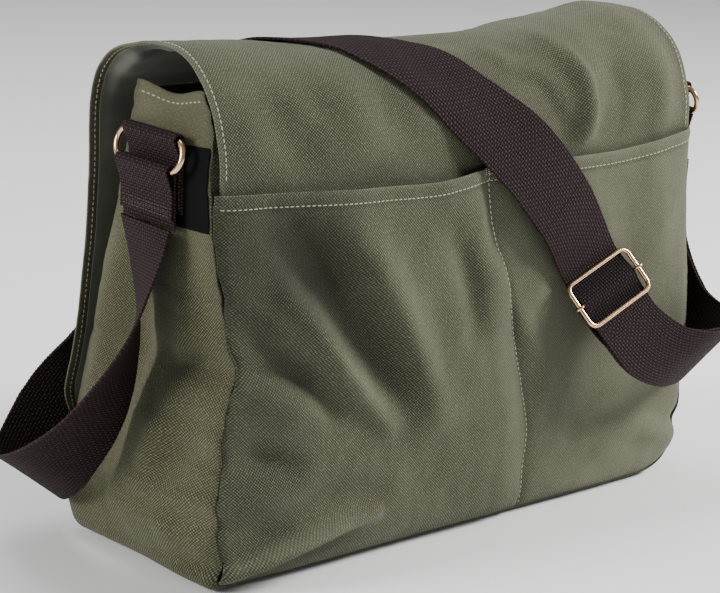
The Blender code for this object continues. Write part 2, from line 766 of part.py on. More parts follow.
def build_slide():
    along, across, out = slide_axes()
    centre = Vector(SLIDE_AT) + out * FRAME_RISE
    tube("slide_frame", "brass", rounded_frame(centre, across, along), FRAME_WIRE, closed=True,
         sides=12, origin=centre)
    half_w = FRAME_HALF[0]
    eye = []
    for degrees in range(170, -41, -15):
        a = math.radians(degrees)
        eye.append((half_w + EYE_RADIUS * math.cos(a), EYE_RADIUS * math.sin(a)))
    eye += [(half_w + 1.7, -3.2), (half_w + 1.0, -5.0), (half_w - 0.6, -BAR_DEPTH)]
    wire = eye + [(u, -BAR_DEPTH) for u in (18, 9, 0)]
    wire += [(-u, v) for u, v in reversed(wire[:-1])]
    points = [centre + across * u + out * v for u, v in wire]
    tube("slide_bar", "brass", points, BAR_WIRE, sides=8, origin=centre)
    wrap = BAR_WIRE + 0.3 + WEBBING / 2
    bar = centre - out * BAR_DEPTH
    lower = -wrap
    upper = lower + WEBBING + GAP
    line = [(SEWN_LENGTH, lower), (12, lower), (6, lower)]
    line += [(-wrap * math.sin(a), -wrap * math.cos(a))
             for a in (math.radians(d) for d in range(0, 181, 20))]
    line += [(4.5, upper + 0.6), (8, upper), (SEWN_LENGTH - 3, upper)]
    route = Path(spline([Vector((u, v, 0)) for u, v in line], 6))
    grid = []
    for i in range(37):
        q = route.point(route.length * i / 36)
        grid.append([bar + along * q.x + out * q.y + across * WEBBING_HALF * 0.98 * (j - 1)
                     for j in range(3)])
    sheet("strap_sewn_end", "webbing", grid, WEBBING / 2, -WEBBING / 2, centre)


# ================================================================ assembly
def build():
    clear_scene()
    build_body()
    build_inside()
    build_label()
    path = flap_path()
    hinge = crossing(path, HINGE_Z, False)
    fold = crossing(path, FOLD_Z, True)
    build_flap(path, hinge, fold)
    build_snaps(path, fold)
    build_anchor(-1, "left")
    build_anchor(1, "right")
    build_strap(path, hinge, fold)
    build_slide()


build()
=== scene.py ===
"""Looks of the canvas messenger bag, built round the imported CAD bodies.

Lengths are millimetres in the CAD frame: Z up, slip pocket towards -Y, flap hanging on the +Y side.
Every soft piece is a closed cloth solid grown from a surface; MM turns it into metres.
"""
import math

import bpy
import numpy as np
from mathutils import Matrix, Vector


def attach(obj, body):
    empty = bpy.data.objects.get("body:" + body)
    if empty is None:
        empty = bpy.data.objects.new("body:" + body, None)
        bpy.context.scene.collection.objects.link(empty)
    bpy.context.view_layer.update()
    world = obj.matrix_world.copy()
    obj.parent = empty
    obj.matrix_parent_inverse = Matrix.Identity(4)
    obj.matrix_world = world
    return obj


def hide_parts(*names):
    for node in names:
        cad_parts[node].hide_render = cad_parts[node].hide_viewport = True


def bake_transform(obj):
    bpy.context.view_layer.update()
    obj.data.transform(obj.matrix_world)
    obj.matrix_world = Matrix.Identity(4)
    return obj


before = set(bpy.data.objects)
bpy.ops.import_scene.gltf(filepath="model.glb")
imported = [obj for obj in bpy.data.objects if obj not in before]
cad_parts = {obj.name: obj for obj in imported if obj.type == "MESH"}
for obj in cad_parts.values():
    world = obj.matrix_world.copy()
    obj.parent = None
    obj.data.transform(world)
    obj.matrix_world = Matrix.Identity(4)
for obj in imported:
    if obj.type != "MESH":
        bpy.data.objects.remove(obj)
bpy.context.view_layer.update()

MM = 0.001
SHELL = "shell"
TOP = "flap_top_body"
FRONT = "flap_front_body"
RING_L = "ring_left_body"
RING_R = "ring_right_body"
SLIDE = "slide_body"
BAR = "slide_bar_body"

GRID = 2.0       # spacing of cloth vertices
WEB_GRID = 0.85  # spacing along webbing

# stretches of cloth that bend between two bodies: (body before, body after, start, end)
BACK_BEND = (SHELL, TOP, (0, -56, 255), (0, -12, 300))
FRONT_BEND = (TOP, FRONT, (0, 30, 298), (0, 68, 235))
LEFT_LOOP_BEND = (RING_L, SHELL, (-208, -12, 207), (-222, 40, 110))
RIGHT_LOOP_BEND = (RING_R, SHELL, (210, -12, 207), (170, -50, 121))


# ================================================================ numbers and curves
def lattice(ix, iy, seed):
    h = np.sin(ix * 127.1 + iy * 311.7 + seed * 74.7) * 43758.5453
    return h - np.floor(h)


def noise(x, y, seed=0):
    """Smooth value noise from -1 to 1, one bump per unit."""
    x = np.asarray(x, float)
    y = np.asarray(y, float)
    ix, iy = np.floor(x), np.floor(y)
    fx, fy = x - ix, y - iy
    sx = fx * fx * fx * (fx * (fx * 6 - 15) + 10)
    sy = fy * fy * fy * (fy * (fy * 6 - 15) + 10)
    low = lattice(ix, iy, seed) * (1 - sx) + lattice(ix + 1, iy, seed) * sx
    high = lattice(ix, iy + 1, seed) * (1 - sx) + lattice(ix + 1, iy + 1, seed) * sx
    return (low * (1 - sy) + high * sy) * 2 - 1


def fractal(x, y, seed=0, octaves=3):
    total = 0.0
    for k in range(octaves):
        total = total + noise(x * 2 ** k, y * 2 ** k, seed + 7 * k) / 2 ** k
    return total


def profile(knots, z):
    """Smooth value at z through (z, value) knots."""
    xs = np.array([k[0] for k in knots], float)
    ys = np.array([k[1] for k in knots], float)
    slopes = np.zeros(len(xs))
    for n in range(len(xs)):
        lo, hi = max(n - 1, 0), min(n + 1, len(xs) - 1)
        slopes[n] = (ys[hi] - ys[lo]) / (xs[hi] - xs[lo])
    z = np.clip(np.asarray(z, float), xs[0], xs[-1])
    i = np.clip(np.searchsorted(xs, z, side="right") - 1, 0, len(xs) - 2)
    step = xs[i + 1] - xs[i]
    t = (z - xs[i]) / step
    return ((2 * t ** 3 - 3 * t ** 2 + 1) * ys[i] + (t ** 3 - 2 * t ** 2 + t) * slopes[i] * step
            + (3 * t ** 2 - 2 * t ** 3) * ys[i + 1] + (t ** 3 - t ** 2) * slopes[i + 1] * step)


def smoothstep(x, lo, hi):
    t = np.clip((x - lo) / (hi - lo), 0, 1)
    return t * t * (3 - 2 * t)


def fade(distance, reach):
    return np.exp(-distance / reach)


def bell(distance, reach):
    return np.exp(-(distance / reach) ** 2)


def catmull(points, steps):
    """Dense points through evenly weighted knots, as the CAD flap uses."""
    points = np.array(points, float)
    ends = np.vstack([2 * points[0] - points[1], points, 2 * points[-1] - points[-2]])
    dense = []
    for i in range(len(points) - 1):
        a, b, c, d = ends[i:i + 4]
        for n in range(steps):
            t = n / steps
            dense.append(((b * 2) + (c - a) * t + (a * 2 - b * 5 + c * 4 - d) * t * t
                          + (b * 3 - a - c * 3 + d) * t ** 3) * 0.5)
    dense.append(points[-1])
    return np.array(dense)


class Path:
    """A dense polyline read by distance along it."""

    def __init__(self, points):
        self.points = np.array(points, float)
        steps = np.linalg.norm(np.diff(self.points, axis=0), axis=1)
        self.at = np.concatenate([[0], np.cumsum(steps)])
        self.length = self.at[-1]

    def point(self, s):
        s = np.asarray(s, float)
        return np.stack([np.interp(s, self.at, self.points[:, k])
                         for k in range(self.points.shape[1])], -1)

    def tangent(self, s):
        d = self.point(np.minimum(s + 1.0, self.length)) - self.point(np.maximum(s - 1.0, 0))
        return d / np.linalg.norm(d, axis=-1, keepdims=True)


def ridge(x, y, points, width):
    """Soft crease along a curve: 1 on its line, fading across width and at its two ends."""
    line = Path(catmull(points, 8))
    count = max(int(line.length / (0.4 * width)), 3)
    share = (np.arange(count) + 0.5) / count
    total = 0.0
    for f, (px, py) in zip(share, line.point(share * line.length)):
        gap = ((x - px) ** 2 + (y - py) ** 2) / width ** 2
        total = total + (np.exp(-gap) * math.sin(math.pi * (0.12 + 0.76 * f))) ** 4
    step = line.length / count / width
    whole = sum(math.exp(-4 * (k * step) ** 2) for k in range(-6, 7))
    return (total / whole) ** 0.25


def folds(x, y, table):
    """Sum of creases given as (relief, line of points, width)."""
    return sum(size * ridge(x, y, line, width) for size, line, width in table)


# ================================================================ meshes
def link(mesh, name, material):
    mesh.materials.append(material)
    mesh.polygons.foreach_set("use_smooth", [True] * len(mesh.polygons))
    obj = bpy.data.objects.new(name, mesh)
    bpy.context.scene.collection.objects.link(obj)
    return obj


def build(name, verts, faces, material, uv=None, tone=None):
    """Mesh from millimetre vertices, with a UV map in metres and a tone attribute."""
    mesh = bpy.data.meshes.new(name)
    verts = np.asarray(verts, float) * MM
    faces = np.asarray(faces, np.int32)
    mesh.vertices.add(len(verts))
    mesh.vertices.foreach_set("co", verts.astype(np.float32).ravel())
    mesh.loops.add(faces.size)
    mesh.loops.foreach_set("vertex_index", faces.ravel())
    mesh.polygons.add(len(faces))
    mesh.polygons.foreach_set("loop_start", np.arange(len(faces), dtype=np.int32) * faces.shape[1])
    mesh.update(calc_edges=True)
    if uv is not None:
        layer = mesh.uv_layers.new(name="cloth")
        layer.data.foreach_set("uv", (np.asarray(uv)[faces.ravel()] * MM).astype(np.float32).ravel())
    attribute = mesh.attributes.new("tone", "FLOAT", "POINT")
    values = np.zeros(len(verts)) if tone is None else np.asarray(tone, float)
    attribute.data.foreach_set("value", values.astype(np.float32))
    return link(mesh, name, material)


def spaced(length, step, soft, radius):
    """Distances along an edge, with extra ones where a soft end is rounded over."""
    near = np.array([0.0, 0.12, 0.35, 0.7]) * radius
    inner = np.linspace(radius, length - radius, max(int(round(length / step)), 2))
    head = near if soft[0] else np.array([0.0])
    tail = length - near[::-1] if soft[1] else np.array([length])
    return np.concatenate([head, inner, tail])


def normals_of(P):
    N = np.cross(np.gradient(P, axis=0), np.gradient(P, axis=1))
    return N / np.maximum(np.linalg.norm(N, axis=2, keepdims=True), 1e-9)


def run_length(P, axis):
    """Distance travelled along one axis of a grid of points."""
    steps = np.linalg.norm(np.diff(P, axis=axis), axis=2)
    return np.cumsum(np.insert(steps, 0, 0, axis=axis), axis=axis)


def edge_distance(P, soft):
    """Distance of each grid point from the nearest soft border."""
    down, over = run_length(P, 0), run_length(P, 1)
    borders = (down, down[-1:] - down, over, over[:, -1:] - over)
    far = np.full(P.shape[:2], 1e6)
    for is_soft, distance in zip(soft, borders):
        if is_soft:
            far = np.minimum(far, distance)
    return far


class Sheet:
    """Cloth solid grown both ways from a middle surface; remembers the surface for stitches."""

    def __init__(self, name, P, U, V, thick, material, soft=(1, 1, 1, 1), tone=0.0):
        self.P = P
        self.N = normals_of(P)
        self.thick = thick
        n, m = P.shape[:2]
        half = thick / 2
        near = np.clip(edge_distance(P, soft) / half, 0, 1)
        h = np.maximum(half * np.sqrt(1 - (1 - near) ** 2), 0.04)[..., None]
        verts = np.concatenate([(P + self.N * h).reshape(-1, 3), (P - self.N * h).reshape(-1, 3)])
        index = np.arange(n * m).reshape(n, m)
        a, b, c, d = index[:-1, :-1], index[:-1, 1:], index[1:, 1:], index[1:, :-1]
        face = np.stack([d, c, b, a], -1).reshape(-1, 4)
        back = np.stack([a, b, c, d], -1).reshape(-1, 4) + n * m
        sides = []
        for line, flip in ((index[0], 0), (index[-1], 1), (index[:, 0], 1), (index[:, -1], 0)):
            p, q = line[:-1], line[1:]
            quad = np.stack([p, q, q + n * m, p + n * m], -1)
            sides.append(quad[:, ::-1] if flip else quad)
        faces = np.concatenate([face, back] + sides)
        uv = np.stack([U, V], -1).reshape(-1, 2)
        tones = np.tile(np.broadcast_to(tone, P.shape[:2]).ravel(), 2)
        self.obj = build(name, verts, faces, material, np.concatenate([uv, uv]), tones)

    def facing(self, way, row=None):
        """+1 when the surface normal looks along way, otherwise -1."""
        N = self.N if row is None else self.N[row]
        return 1.0 if float(np.median(N @ np.asarray(way, float))) > 0 else -1.0

    def at(self, i, j, side=1.0):
        """Points and normals on the outer (or inner) face at fractional grid places."""
        n, m = self.P.shape[:2]
        i = np.clip(np.asarray(i, float), 0, n - 1.001)
        j = np.clip(np.asarray(j, float), 0, m - 1.001)
        a, b = i.astype(int), j.astype(int)
        u, v = (i - a)[:, None], (j - b)[:, None]

        def mix(A):
            return ((A[a, b] * (1 - u) + A[a + 1, b] * u) * (1 - v)
                    + (A[a, b + 1] * (1 - u) + A[a + 1, b + 1] * u) * v)

        N = mix(self.N) * side
        return mix(self.P) + N * self.thick / 2, N


def rings_to_faces(count, sides, closed=False, base=0):
    """Quads between consecutive rings of vertices."""
    faces = []
    for i in range(count if closed else count - 1):
        a, b = base + i * sides, base + ((i + 1) % count) * sides
        for k in range(sides):
            m = (k + 1) % sides
            faces.append((a + k, a + m, b + m, b + k))
    return faces


def tube(name, points, radius, material, closed=False, sides=20):
    """Round wire along points with its section carried along without twist."""
    points = np.array(points, float)
    count = len(points)
    rings, normal = [], None
    for i in range(count):
        before = points[i - 1] if closed or i else points[i]
        after = points[(i + 1) % count] if closed or i < count - 1 else points[i]
        t = (after - before) / np.linalg.norm(after - before)
        if normal is None:
            pick = np.array([1.0, 0, 0]) if abs(t[0]) < 0.7 else np.array([0, 0, 1.0])
            normal = np.cross(t, pick)
        normal = normal - t * normal.dot(t)
        normal = normal / np.linalg.norm(normal)
        side = np.cross(t, normal)
        a = np.arange(sides) / sides * 2 * math.pi
        rings.append(points[i] + (np.cos(a)[:, None] * normal + np.sin(a)[:, None] * side) * radius)
    verts = np.concatenate(rings)
    faces = rings_to_faces(count, sides, closed)
    if not closed:
        for start, flip in ((0, True), ((count - 1) * sides, False)):
            centre = len(verts)
            verts = np.vstack([verts, points[0 if flip else -1]])
            for k in range(sides):
                m = (k + 1) % sides
                tri = (start + k, start + m, centre, centre)
                faces.append(tri[::-1] if flip else tri)
        return build_mixed(name, verts, faces, material)
    return build(name, verts, faces, material)


def build_mixed(name, verts, faces, material):
    """Mesh from faces that may repeat a corner, which is then dropped."""
    mesh = bpy.data.meshes.new(name)
    clean = [tuple(dict.fromkeys(f)) for f in faces]
    mesh.from_pydata([tuple(v) for v in np.asarray(verts) * MM], [], clean)
    mesh.validate()
    attribute = mesh.attributes.new("tone", "FLOAT", "POINT")
    attribute.data.foreach_set("value", [0.0] * len(mesh.vertices))
    return link(mesh, name, material)


class Thread:
    """Collects stitches, then joins them into one mesh per group."""

    def __init__(self):
        self.groups = {}

    def run(self, group, points, normals, pitch=3.4, length=2.8, radius=0.40, sink=0.12, seed=1):
        """Short capsules along a line of points, lying on the face."""
        path = Path(points)
        rng = np.random.default_rng(seed)
        count = max(int(path.length / pitch), 1)
        for k in range(count):
            s = (k + 0.5) * path.length / count
            p = path.point(s)
            t = path.tangent(s)
            n = normals[int(round(np.interp(s, path.at, np.arange(len(points)))))]
            n = n - t * n.dot(t)
            n = n / np.linalg.norm(n)
            side = np.cross(t, n)
            t = t + side * rng.uniform(-0.08, 0.08)
            size = length * rng.uniform(0.9, 1.06)
            self.groups.setdefault(group, []).append((p - n * sink, t, n, side, size, radius))

    def make(self, group, name, material):
        rings, sides = 7, 8
        verts, faces = [], []
        angle = np.arange(sides) / sides * 2 * math.pi
        for p, t, n, side, size, radius in self.groups[group]:
            base = len(verts)
            for i in range(rings):
                u = i / (rings - 1) * 2 - 1
                r = radius * math.sqrt(max(1 - abs(u) ** 3, 0.03))
                bow = -0.3 * radius * u * u
                for a in angle:
                    verts.append(p + t * u * size / 2 + n * (bow + r * math.cos(a))
                                 + side * r * math.sin(a))
            faces += rings_to_faces(rings, sides, base=base)
        return build(name, np.array(verts), faces, material)


# ================================================================ attaching to the CAD
def place(obj, body, slot, *nodes):
    """The piece rides one body, or, given (body before, body after, start, end), is baked where it stands;
    it hides the nodes it replaces.
    """
    if isinstance(body, str):
        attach(obj, body)
    else:
        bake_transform(obj)
    if nodes:
        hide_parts(*nodes)
    return obj


# ================================================================ materials
def node(tree, kind, **values):
    made = tree.nodes.new(kind)
    for key, value in values.items():
        setattr(made, key, value)
    return made


def feed(socket, value):
    """Links another node's output to a socket, or sets a plain number or colour."""
    if isinstance(value, bpy.types.NodeSocket):
        socket.id_data.links.new(value, socket)
    elif socket.type == "RGBA" and isinstance(value, tuple):
        socket.default_value = (*value[:3], 1.0)
    else:
        socket.default_value = value


def tune(target, **values):
    """Feeds a node's inputs by name; an underscore stands for a space."""
    for key, value in values.items():
        feed(target.inputs[key.replace("_", " ")], value)


def math_node(tree, operation, a, b=None, clamp=False):
    made = node(tree, "ShaderNodeMath", operation=operation, use_clamp=clamp)
    feed(made.inputs[0], a)
    if b is not None:
        feed(made.inputs[1], b)
    return made.outputs[0]


def times(tree, a, b, clamp=False):
    return math_node(tree, "MULTIPLY", a, b, clamp)


def mix_colour(tree, factor, a, b):
    made = node(tree, "ShaderNodeMix", data_type="RGBA")
    for slot, value in ((0, factor), (6, a), (7, b)):
        feed(made.inputs[slot], value)
    return made.outputs[2]


def noise_node(tree, vector, scale, detail=3.0, rough=0.55, stretch=None):
    if stretch:
        mapping = node(tree, "ShaderNodeMapping")
        tune(mapping, Scale=stretch, Vector=vector)
        vector = mapping.outputs[0]
    made = node(tree, "ShaderNodeTexNoise")
    tune(made, Scale=scale, Detail=detail, Roughness=rough, Vector=vector)
    return made.outputs["Fac"]


def ramp(tree, value, low, high):
    made = node(tree, "ShaderNodeMapRange")
    tune(made, From_Min=low, From_Max=high, Value=value)
    return made.outputs[0]


def start(name):
    mat = bpy.data.materials.new(name)
    mat.use_nodes = True
    tree = mat.node_tree
    shader = tree.nodes["Principled BSDF"]
    return mat, tree, shader


def weave(tree, pitches, wobble, drift_scale, roundness):
    """Crossing yarns: the cloth's coordinates, the height of each crossing and which yarn is on top."""
    uv = node(tree, "ShaderNodeUVMap", uv_map="cloth").outputs[0]
    split = node(tree, "ShaderNodeSeparateXYZ")
    feed(split.inputs[0], uv)
    drift = noise_node(tree, uv, drift_scale, 2.0)
    drift = times(tree, math_node(tree, "SUBTRACT", drift, 0.5), wobble)
    waves = []
    for axis, pitch in zip((0, 1), pitches):
        turn = math_node(tree, "ADD", times(tree, split.outputs[axis], math.pi / pitch), drift)
        waves.append(math_node(tree, "SINE", turn))
    product = times(tree, waves[0], waves[1])
    height = math_node(tree, "POWER", math_node(tree, "ABSOLUTE", product), roundness)
    return uv, height, product


def bump(tree, shader, height, strength, distance):
    made = node(tree, "ShaderNodeBump")
    tune(made, Strength=strength, Distance=distance, Height=height)
    tune(shader, Normal=made.outputs[0])


def toned(tree, colour, light, dark):
    """Lightens or darkens a colour by the mesh's own tone values, which carry painted light and shade."""
    tone = node(tree, "ShaderNodeAttribute", attribute_name="tone").outputs["Fac"]
    lighter = math_node(tree, "MAXIMUM", tone, 0.0, clamp=True)
    darker = math_node(tree, "MAXIMUM", times(tree, tone, -1.0), 0.0, clamp=True)
    return mix_colour(tree, darker, mix_colour(tree, lighter, colour, light), dark)


def canvas(name, warp, weft, faded_and_lit, pitch=0.00092, contrast=0.66):
    """Washed cotton canvas: two yarn colours, slubs, fading and a raised weave, with painted shade in the
    weave's grooves and painted light and shade from the tone values.
    """
    mat, tree, shader = start(name)
    uv, height, product = weave(tree, (pitch, pitch), 2.6, 260.0, 0.6)
    mask = ramp(tree, product, -0.15, 0.15)
    yarn = noise_node(tree, uv, 700.0, 3.0)
    colour = mix_colour(tree, mask, weft, warp)
    dark = tuple(c * 0.30 for c in weft)
    # painted shade in the weave's grooves
    groove = math_node(tree, "SUBTRACT", 1.0, height)
    colour = mix_colour(tree, times(tree, groove, contrast), colour, dark)
    speck = times(tree, ramp(tree, yarn, 0.46, 0.66), mask)
    colour = mix_colour(tree, times(tree, speck, 0.55), colour, faded_and_lit)
    wash = ramp(tree, noise_node(tree, uv, 16.0, 4.0), 0.40, 0.68)
    colour = mix_colour(tree, times(tree, wash, 0.12), colour, faded_and_lit)
    # painted light from the tone values mixes towards the faded colour, painted shade towards dark
    tune(shader, Base_Color=toned(tree, colour, faded_and_lit, dark), Roughness=0.93, Specular_IOR_Level=0.18,
         Sheen_Weight=0.12, Sheen_Roughness=0.45, Sheen_Tint=(0.85, 0.88, 0.72))
    fuzz = noise_node(tree, uv, 2600.0, 2.0)
    total = math_node(tree, "ADD", height, times(tree, fuzz, 0.35))
    bump(tree, shader, total, 0.75, 0.00022)
    return mat


def webbing(name, light, dark, pitch=0.0021):
    """Coarse cotton webbing with staggered ribs, its colour partly the yarn's own and partly painted
    highlight on the rib tops and painted shade between them.
    """
    mat, tree, shader = start(name)
    uv, height, product = weave(tree, (pitch, pitch * 0.82), 1.6, 320.0, 0.5)
    high = ramp(tree, product, -0.3, 0.9)
    fibre = noise_node(tree, uv, 1900.0, 2.0, stretch=(1.0, 0.35, 1.0))
    # painted highlight on the rib tops and painted shade between them
    lit = times(tree, height, math_node(tree, "ADD", high, 0.45), clamp=True)
    lit = times(tree, lit, math_node(tree, "ADD", fibre, 0.45), clamp=True)
    lit = math_node(tree, "POWER", lit, 1.1)
    colour = mix_colour(tree, lit, dark, light)
    colour = toned(tree, colour, tuple(min(c * 2.2, 1.0) for c in light), tuple(c * 0.25 for c in dark))
    tune(shader, Base_Color=colour, Roughness=0.7, Specular_IOR_Level=0.12)
    total = math_node(tree, "ADD", math_node(tree, "ADD", height, times(tree, high, 0.5)),
                      times(tree, fibre, 0.25))
    bump(tree, shader, total, 1.0, 0.0009)
    return mat


def plain_cloth(name, colour, pitch, roughness=0.8, sheen=0.2, contrast=0.35, gloss=0.25):
    """Fine lining cloth, with painted shade in the weave's grooves and painted light and shade from the
    tone values.
    """
    mat, tree, shader = start(name)
    uv, height, product = weave(tree, (pitch, pitch), 1.5, 260.0, 0.6)
    mask = ramp(tree, product, -0.15, 0.15)
    dark = tuple(c * 0.55 for c in colour)
    light = tuple(min(c * 1.35, 1.0) for c in colour)
    made = mix_colour(tree, mask, colour, light)
    # painted shade in the weave's grooves
    groove = math_node(tree, "SUBTRACT", 1.0, height)
    made = mix_colour(tree, times(tree, groove, contrast), made, dark)
    cloud = ramp(tree, noise_node(tree, uv, 22.0, 3.0), 0.35, 0.7)
    made = mix_colour(tree, times(tree, cloud, 0.25), made, light)
    made = toned(tree, made, tuple(min(c * 2.0, 1.0) for c in colour), tuple(c * 0.2 for c in colour))
    tune(shader, Base_Color=made, Roughness=roughness, Specular_IOR_Level=gloss, Sheen_Weight=sheen)
    bump(tree, shader, height, 0.5, 0.00012)
    return mat


def metal(name, colour, roughness):
    mat, tree, shader = start(name)
    geo = node(tree, "ShaderNodeNewGeometry").outputs["Position"]
    wear = noise_node(tree, geo, 420.0, 4.0, 0.6)
    fine = noise_node(tree, geo, 2400.0, 2.0)
    darker = tuple(c * 0.62 for c in colour)
    made = mix_colour(tree, times(tree, ramp(tree, wear, 0.48, 0.72), 0.45), colour, darker)
    rough = math_node(tree, "ADD", times(tree, wear, 0.16), roughness - 0.08)
    tune(shader, Base_Color=made, Metallic=1.0, Roughness=rough)
    bump(tree, shader, fine, 0.12, 0.00005)
    return mat


def thread(name, colour):
    mat, tree, shader = start(name)
    geo = node(tree, "ShaderNodeNewGeometry").outputs["Position"]
    twist = noise_node(tree, geo, 3200.0, 2.0)
    made = mix_colour(tree, ramp(tree, twist, 0.35, 0.7), tuple(c * 0.62 for c in colour), colour)
    tune(shader, Base_Color=made, Roughness=0.7)
    bump(tree, shader, twist, 0.5, 0.0001)
    return mat


CANVAS = canvas("olive_canvas", (0.122, 0.124, 0.076), (0.026, 0.027, 0.015), (0.25, 0.25, 0.175))
CANVAS_SIDE = canvas("olive_canvas_side", (0.126, 0.129, 0.073), (0.026, 0.027, 0.013),
                     (0.27, 0.26, 0.16))
WEBBING = webbing("aubergine_webbing", (0.056, 0.031, 0.032), (0.0024, 0.0012, 0.0014))
FLAP_LINING = plain_cloth("flap_lining_cloth", (0.092, 0.094, 0.076), 0.00042, 0.42, 0.15, 0.2, 0.5)
INNER_LINING = plain_cloth("dark_lining_cloth", (0.018, 0.017, 0.015), 0.0006)
LABEL = plain_cloth("black_label", (0.0022, 0.0022, 0.0026), 0.0007, 0.85, 0.0, 0.4, 0.1)
BRASS = metal("pale_brass", (0.74, 0.49, 0.29), 0.2)
SNAP = metal("snap_metal", (0.60, 0.55, 0.45), 0.34)
THREAD = thread("beige_thread", (0.52, 0.50, 0.37))
DARK_THREAD = thread("aubergine_thread", (0.075, 0.046, 0.05))
BOARD = plain_cloth("stiffener_board", (0.24, 0.19, 0.12), 0.0012)
seams = Thread()

# ================================================================ body outline
# left and right outline of the back face: (height, x)
LEFT_X = [(0, -190), (6, -192), (11, -190), (18, -187), (30, -191), (44, -193.5), (62, -193), (77, -190.5),
          (90, -191), (103, -188), (116, -185), (131, -181), (140, -184.5), (150, -187.5),
          (168, -190), (197, -194), (228, -197), (250, -193), (281, -188)]
RIGHT_X = [(0, 184), (12, 184), (28, 184), (38, 181), (47, 185.5), (60, 185), (87, 185.5),
           (115, 187.5), (149, 185.5), (183, 182.5), (217, 180), (240, 179), (281, 179)]
# the side panel stands off further at the front of the left side and in the middle of the right
FRONT_LEFT_X = [(0, -197), (8, -201), (30, -202), (60, -199), (90, -195), (150, -194),
                (200, -196), (281, -197)]
FRONT_RIGHT_X = [(0, 184), (281, 184)]
LEFT_BULGE = [(0, 5), (12, 8), (50, 9), (100, 6), (150, 4), (200, 1.6), (281, 1)]
RIGHT_BULGE = [(0, 6), (60, 9), (150, 9), (200, 13), (250, 14.5), (281, 10)]
BACK_Y = [(0, -62), (5, -63), (12, -65), (55, -66.5), (130, -64.5), (196, -59.2), (228, -58.6), (257, -53),
          (281, -38.5)]
FRONT_Y = [(0, 60), (5, 64), (12, 68), (50, 73.5), (90, 69), (143, 54), (207, 32), (258, 18), (281, 13)]
SEAM_Z = 5.0
BASE_LIFT = 0.9        # middle of the base cloth above the ground
BAND_THICK = 1.7
SIDE_WIDTH = 120.0     # the side wall's width, for fades along its seams
CORNER_SMOOTHING = 14  # passes that round the side wall's direction at the bottom corners
HEM_STITCH = 7.8       # stitch line below the pocket's hem
SIDE_STITCH = 6.5      # and below the gusset's top edges
POCKET_DEEPEST = -0.2  # away from its seams the pocket never dents further, to clear the panel behind it
CORNER_LEFT = 7.0
CORNER_RIGHT = 27.0


def corner_cut(z, radius):
    """How far a bottom corner draws the outline in at height z."""
    reach = np.clip(radius - (z - SEAM_Z), 0, radius)
    return radius - np.sqrt(np.maximum(radius ** 2 - reach ** 2, 0))


def left_x(z):
    wiggle = 1.0 * noise(z / 9.0, 0 * z, 17) + 0.5 * noise(z / 4.3, 0 * z, 19)
    return profile(LEFT_X, z) + corner_cut(z, CORNER_LEFT) + wiggle * smoothstep(z, 8, 20)


def right_x(z):
    return profile(RIGHT_X, z) - corner_cut(z, CORNER_RIGHT)


def front_left_x(z):
    return profile(FRONT_LEFT_X, z) + corner_cut(z, CORNER_LEFT)


def front_right_x(z):
    return profile(FRONT_RIGHT_X, z) - corner_cut(z, CORNER_RIGHT)


def seam_pucker(z, seed):
    """Short gathers along a sewn edge."""
    return 0.9 * noise(z / 7.0, 0 * z, seed) + 0.5 * noise(z / 3.1, 0 * z, seed + 3)


def outline(front):
    """U-shaped seam of one face as a Path: down the left, along the base, up the right."""
    depth = FRONT_Y if front else BACK_Y
    sides = (front_left_x, front_right_x) if front else (left_x, right_x)
    z = np.concatenate([np.linspace(281, 60, 120), np.linspace(59, SEAM_Z, 60)])
    left = np.stack([sides[0](z), profile(depth, z), z], 1)
    right = np.stack([sides[1](z), profile(depth, z), z], 1)[::-1]
    inner = np.linspace(left[-1, 0], right[0, 0], 90)[1:-1]
    base = np.stack([inner, np.full(88, float(profile(depth, SEAM_Z))), np.full(88, SEAM_Z)], 1)
    return Path(np.concatenate([left, base, right]))


# ================================================================ side and base band
# folds of the two side walls: (relief, line of (y, z) points, width)
SIDE_FOLDS = [
    (5.5, [(22, 205), (44, 140), (58, 70), (60, 20)], 11),
    (-7.5, [(2, 205), (12, 130), (32, 70), (40, 40)], 12),
    (6.0, [(-28, 205), (-34, 150), (-22, 90), (-2, 50)], 13),
    (-4.0, [(-58, 141), (-44, 140), (-20, 120)], 8),
    (3.5, [(-52, 118), (-34, 104), (-12, 70)], 10),
    (-3.5, [(-60, 84), (-44, 82), (-24, 62)], 8),
    (3.0, [(-54, 60), (-30, 36), (0, 22)], 10),
    (-2.5, [(-60, 26), (-44, 22), (-20, 18)], 6),
]


def band_outward(middle):
    """Smoothed outward direction of each row of the band."""
    step = np.gradient(middle, axis=0)
    out = np.stack([step[:, 2], 0 * step[:, 0], -step[:, 0]], 1)
    out = out / np.linalg.norm(out, axis=1)[:, None]
    for _ in range(CORNER_SMOOTHING):
        out[1:-1] = (out[:-2] + out[1:-1] * 2 + out[2:]) / 4
    return out / np.linalg.norm(out, axis=1)[:, None]


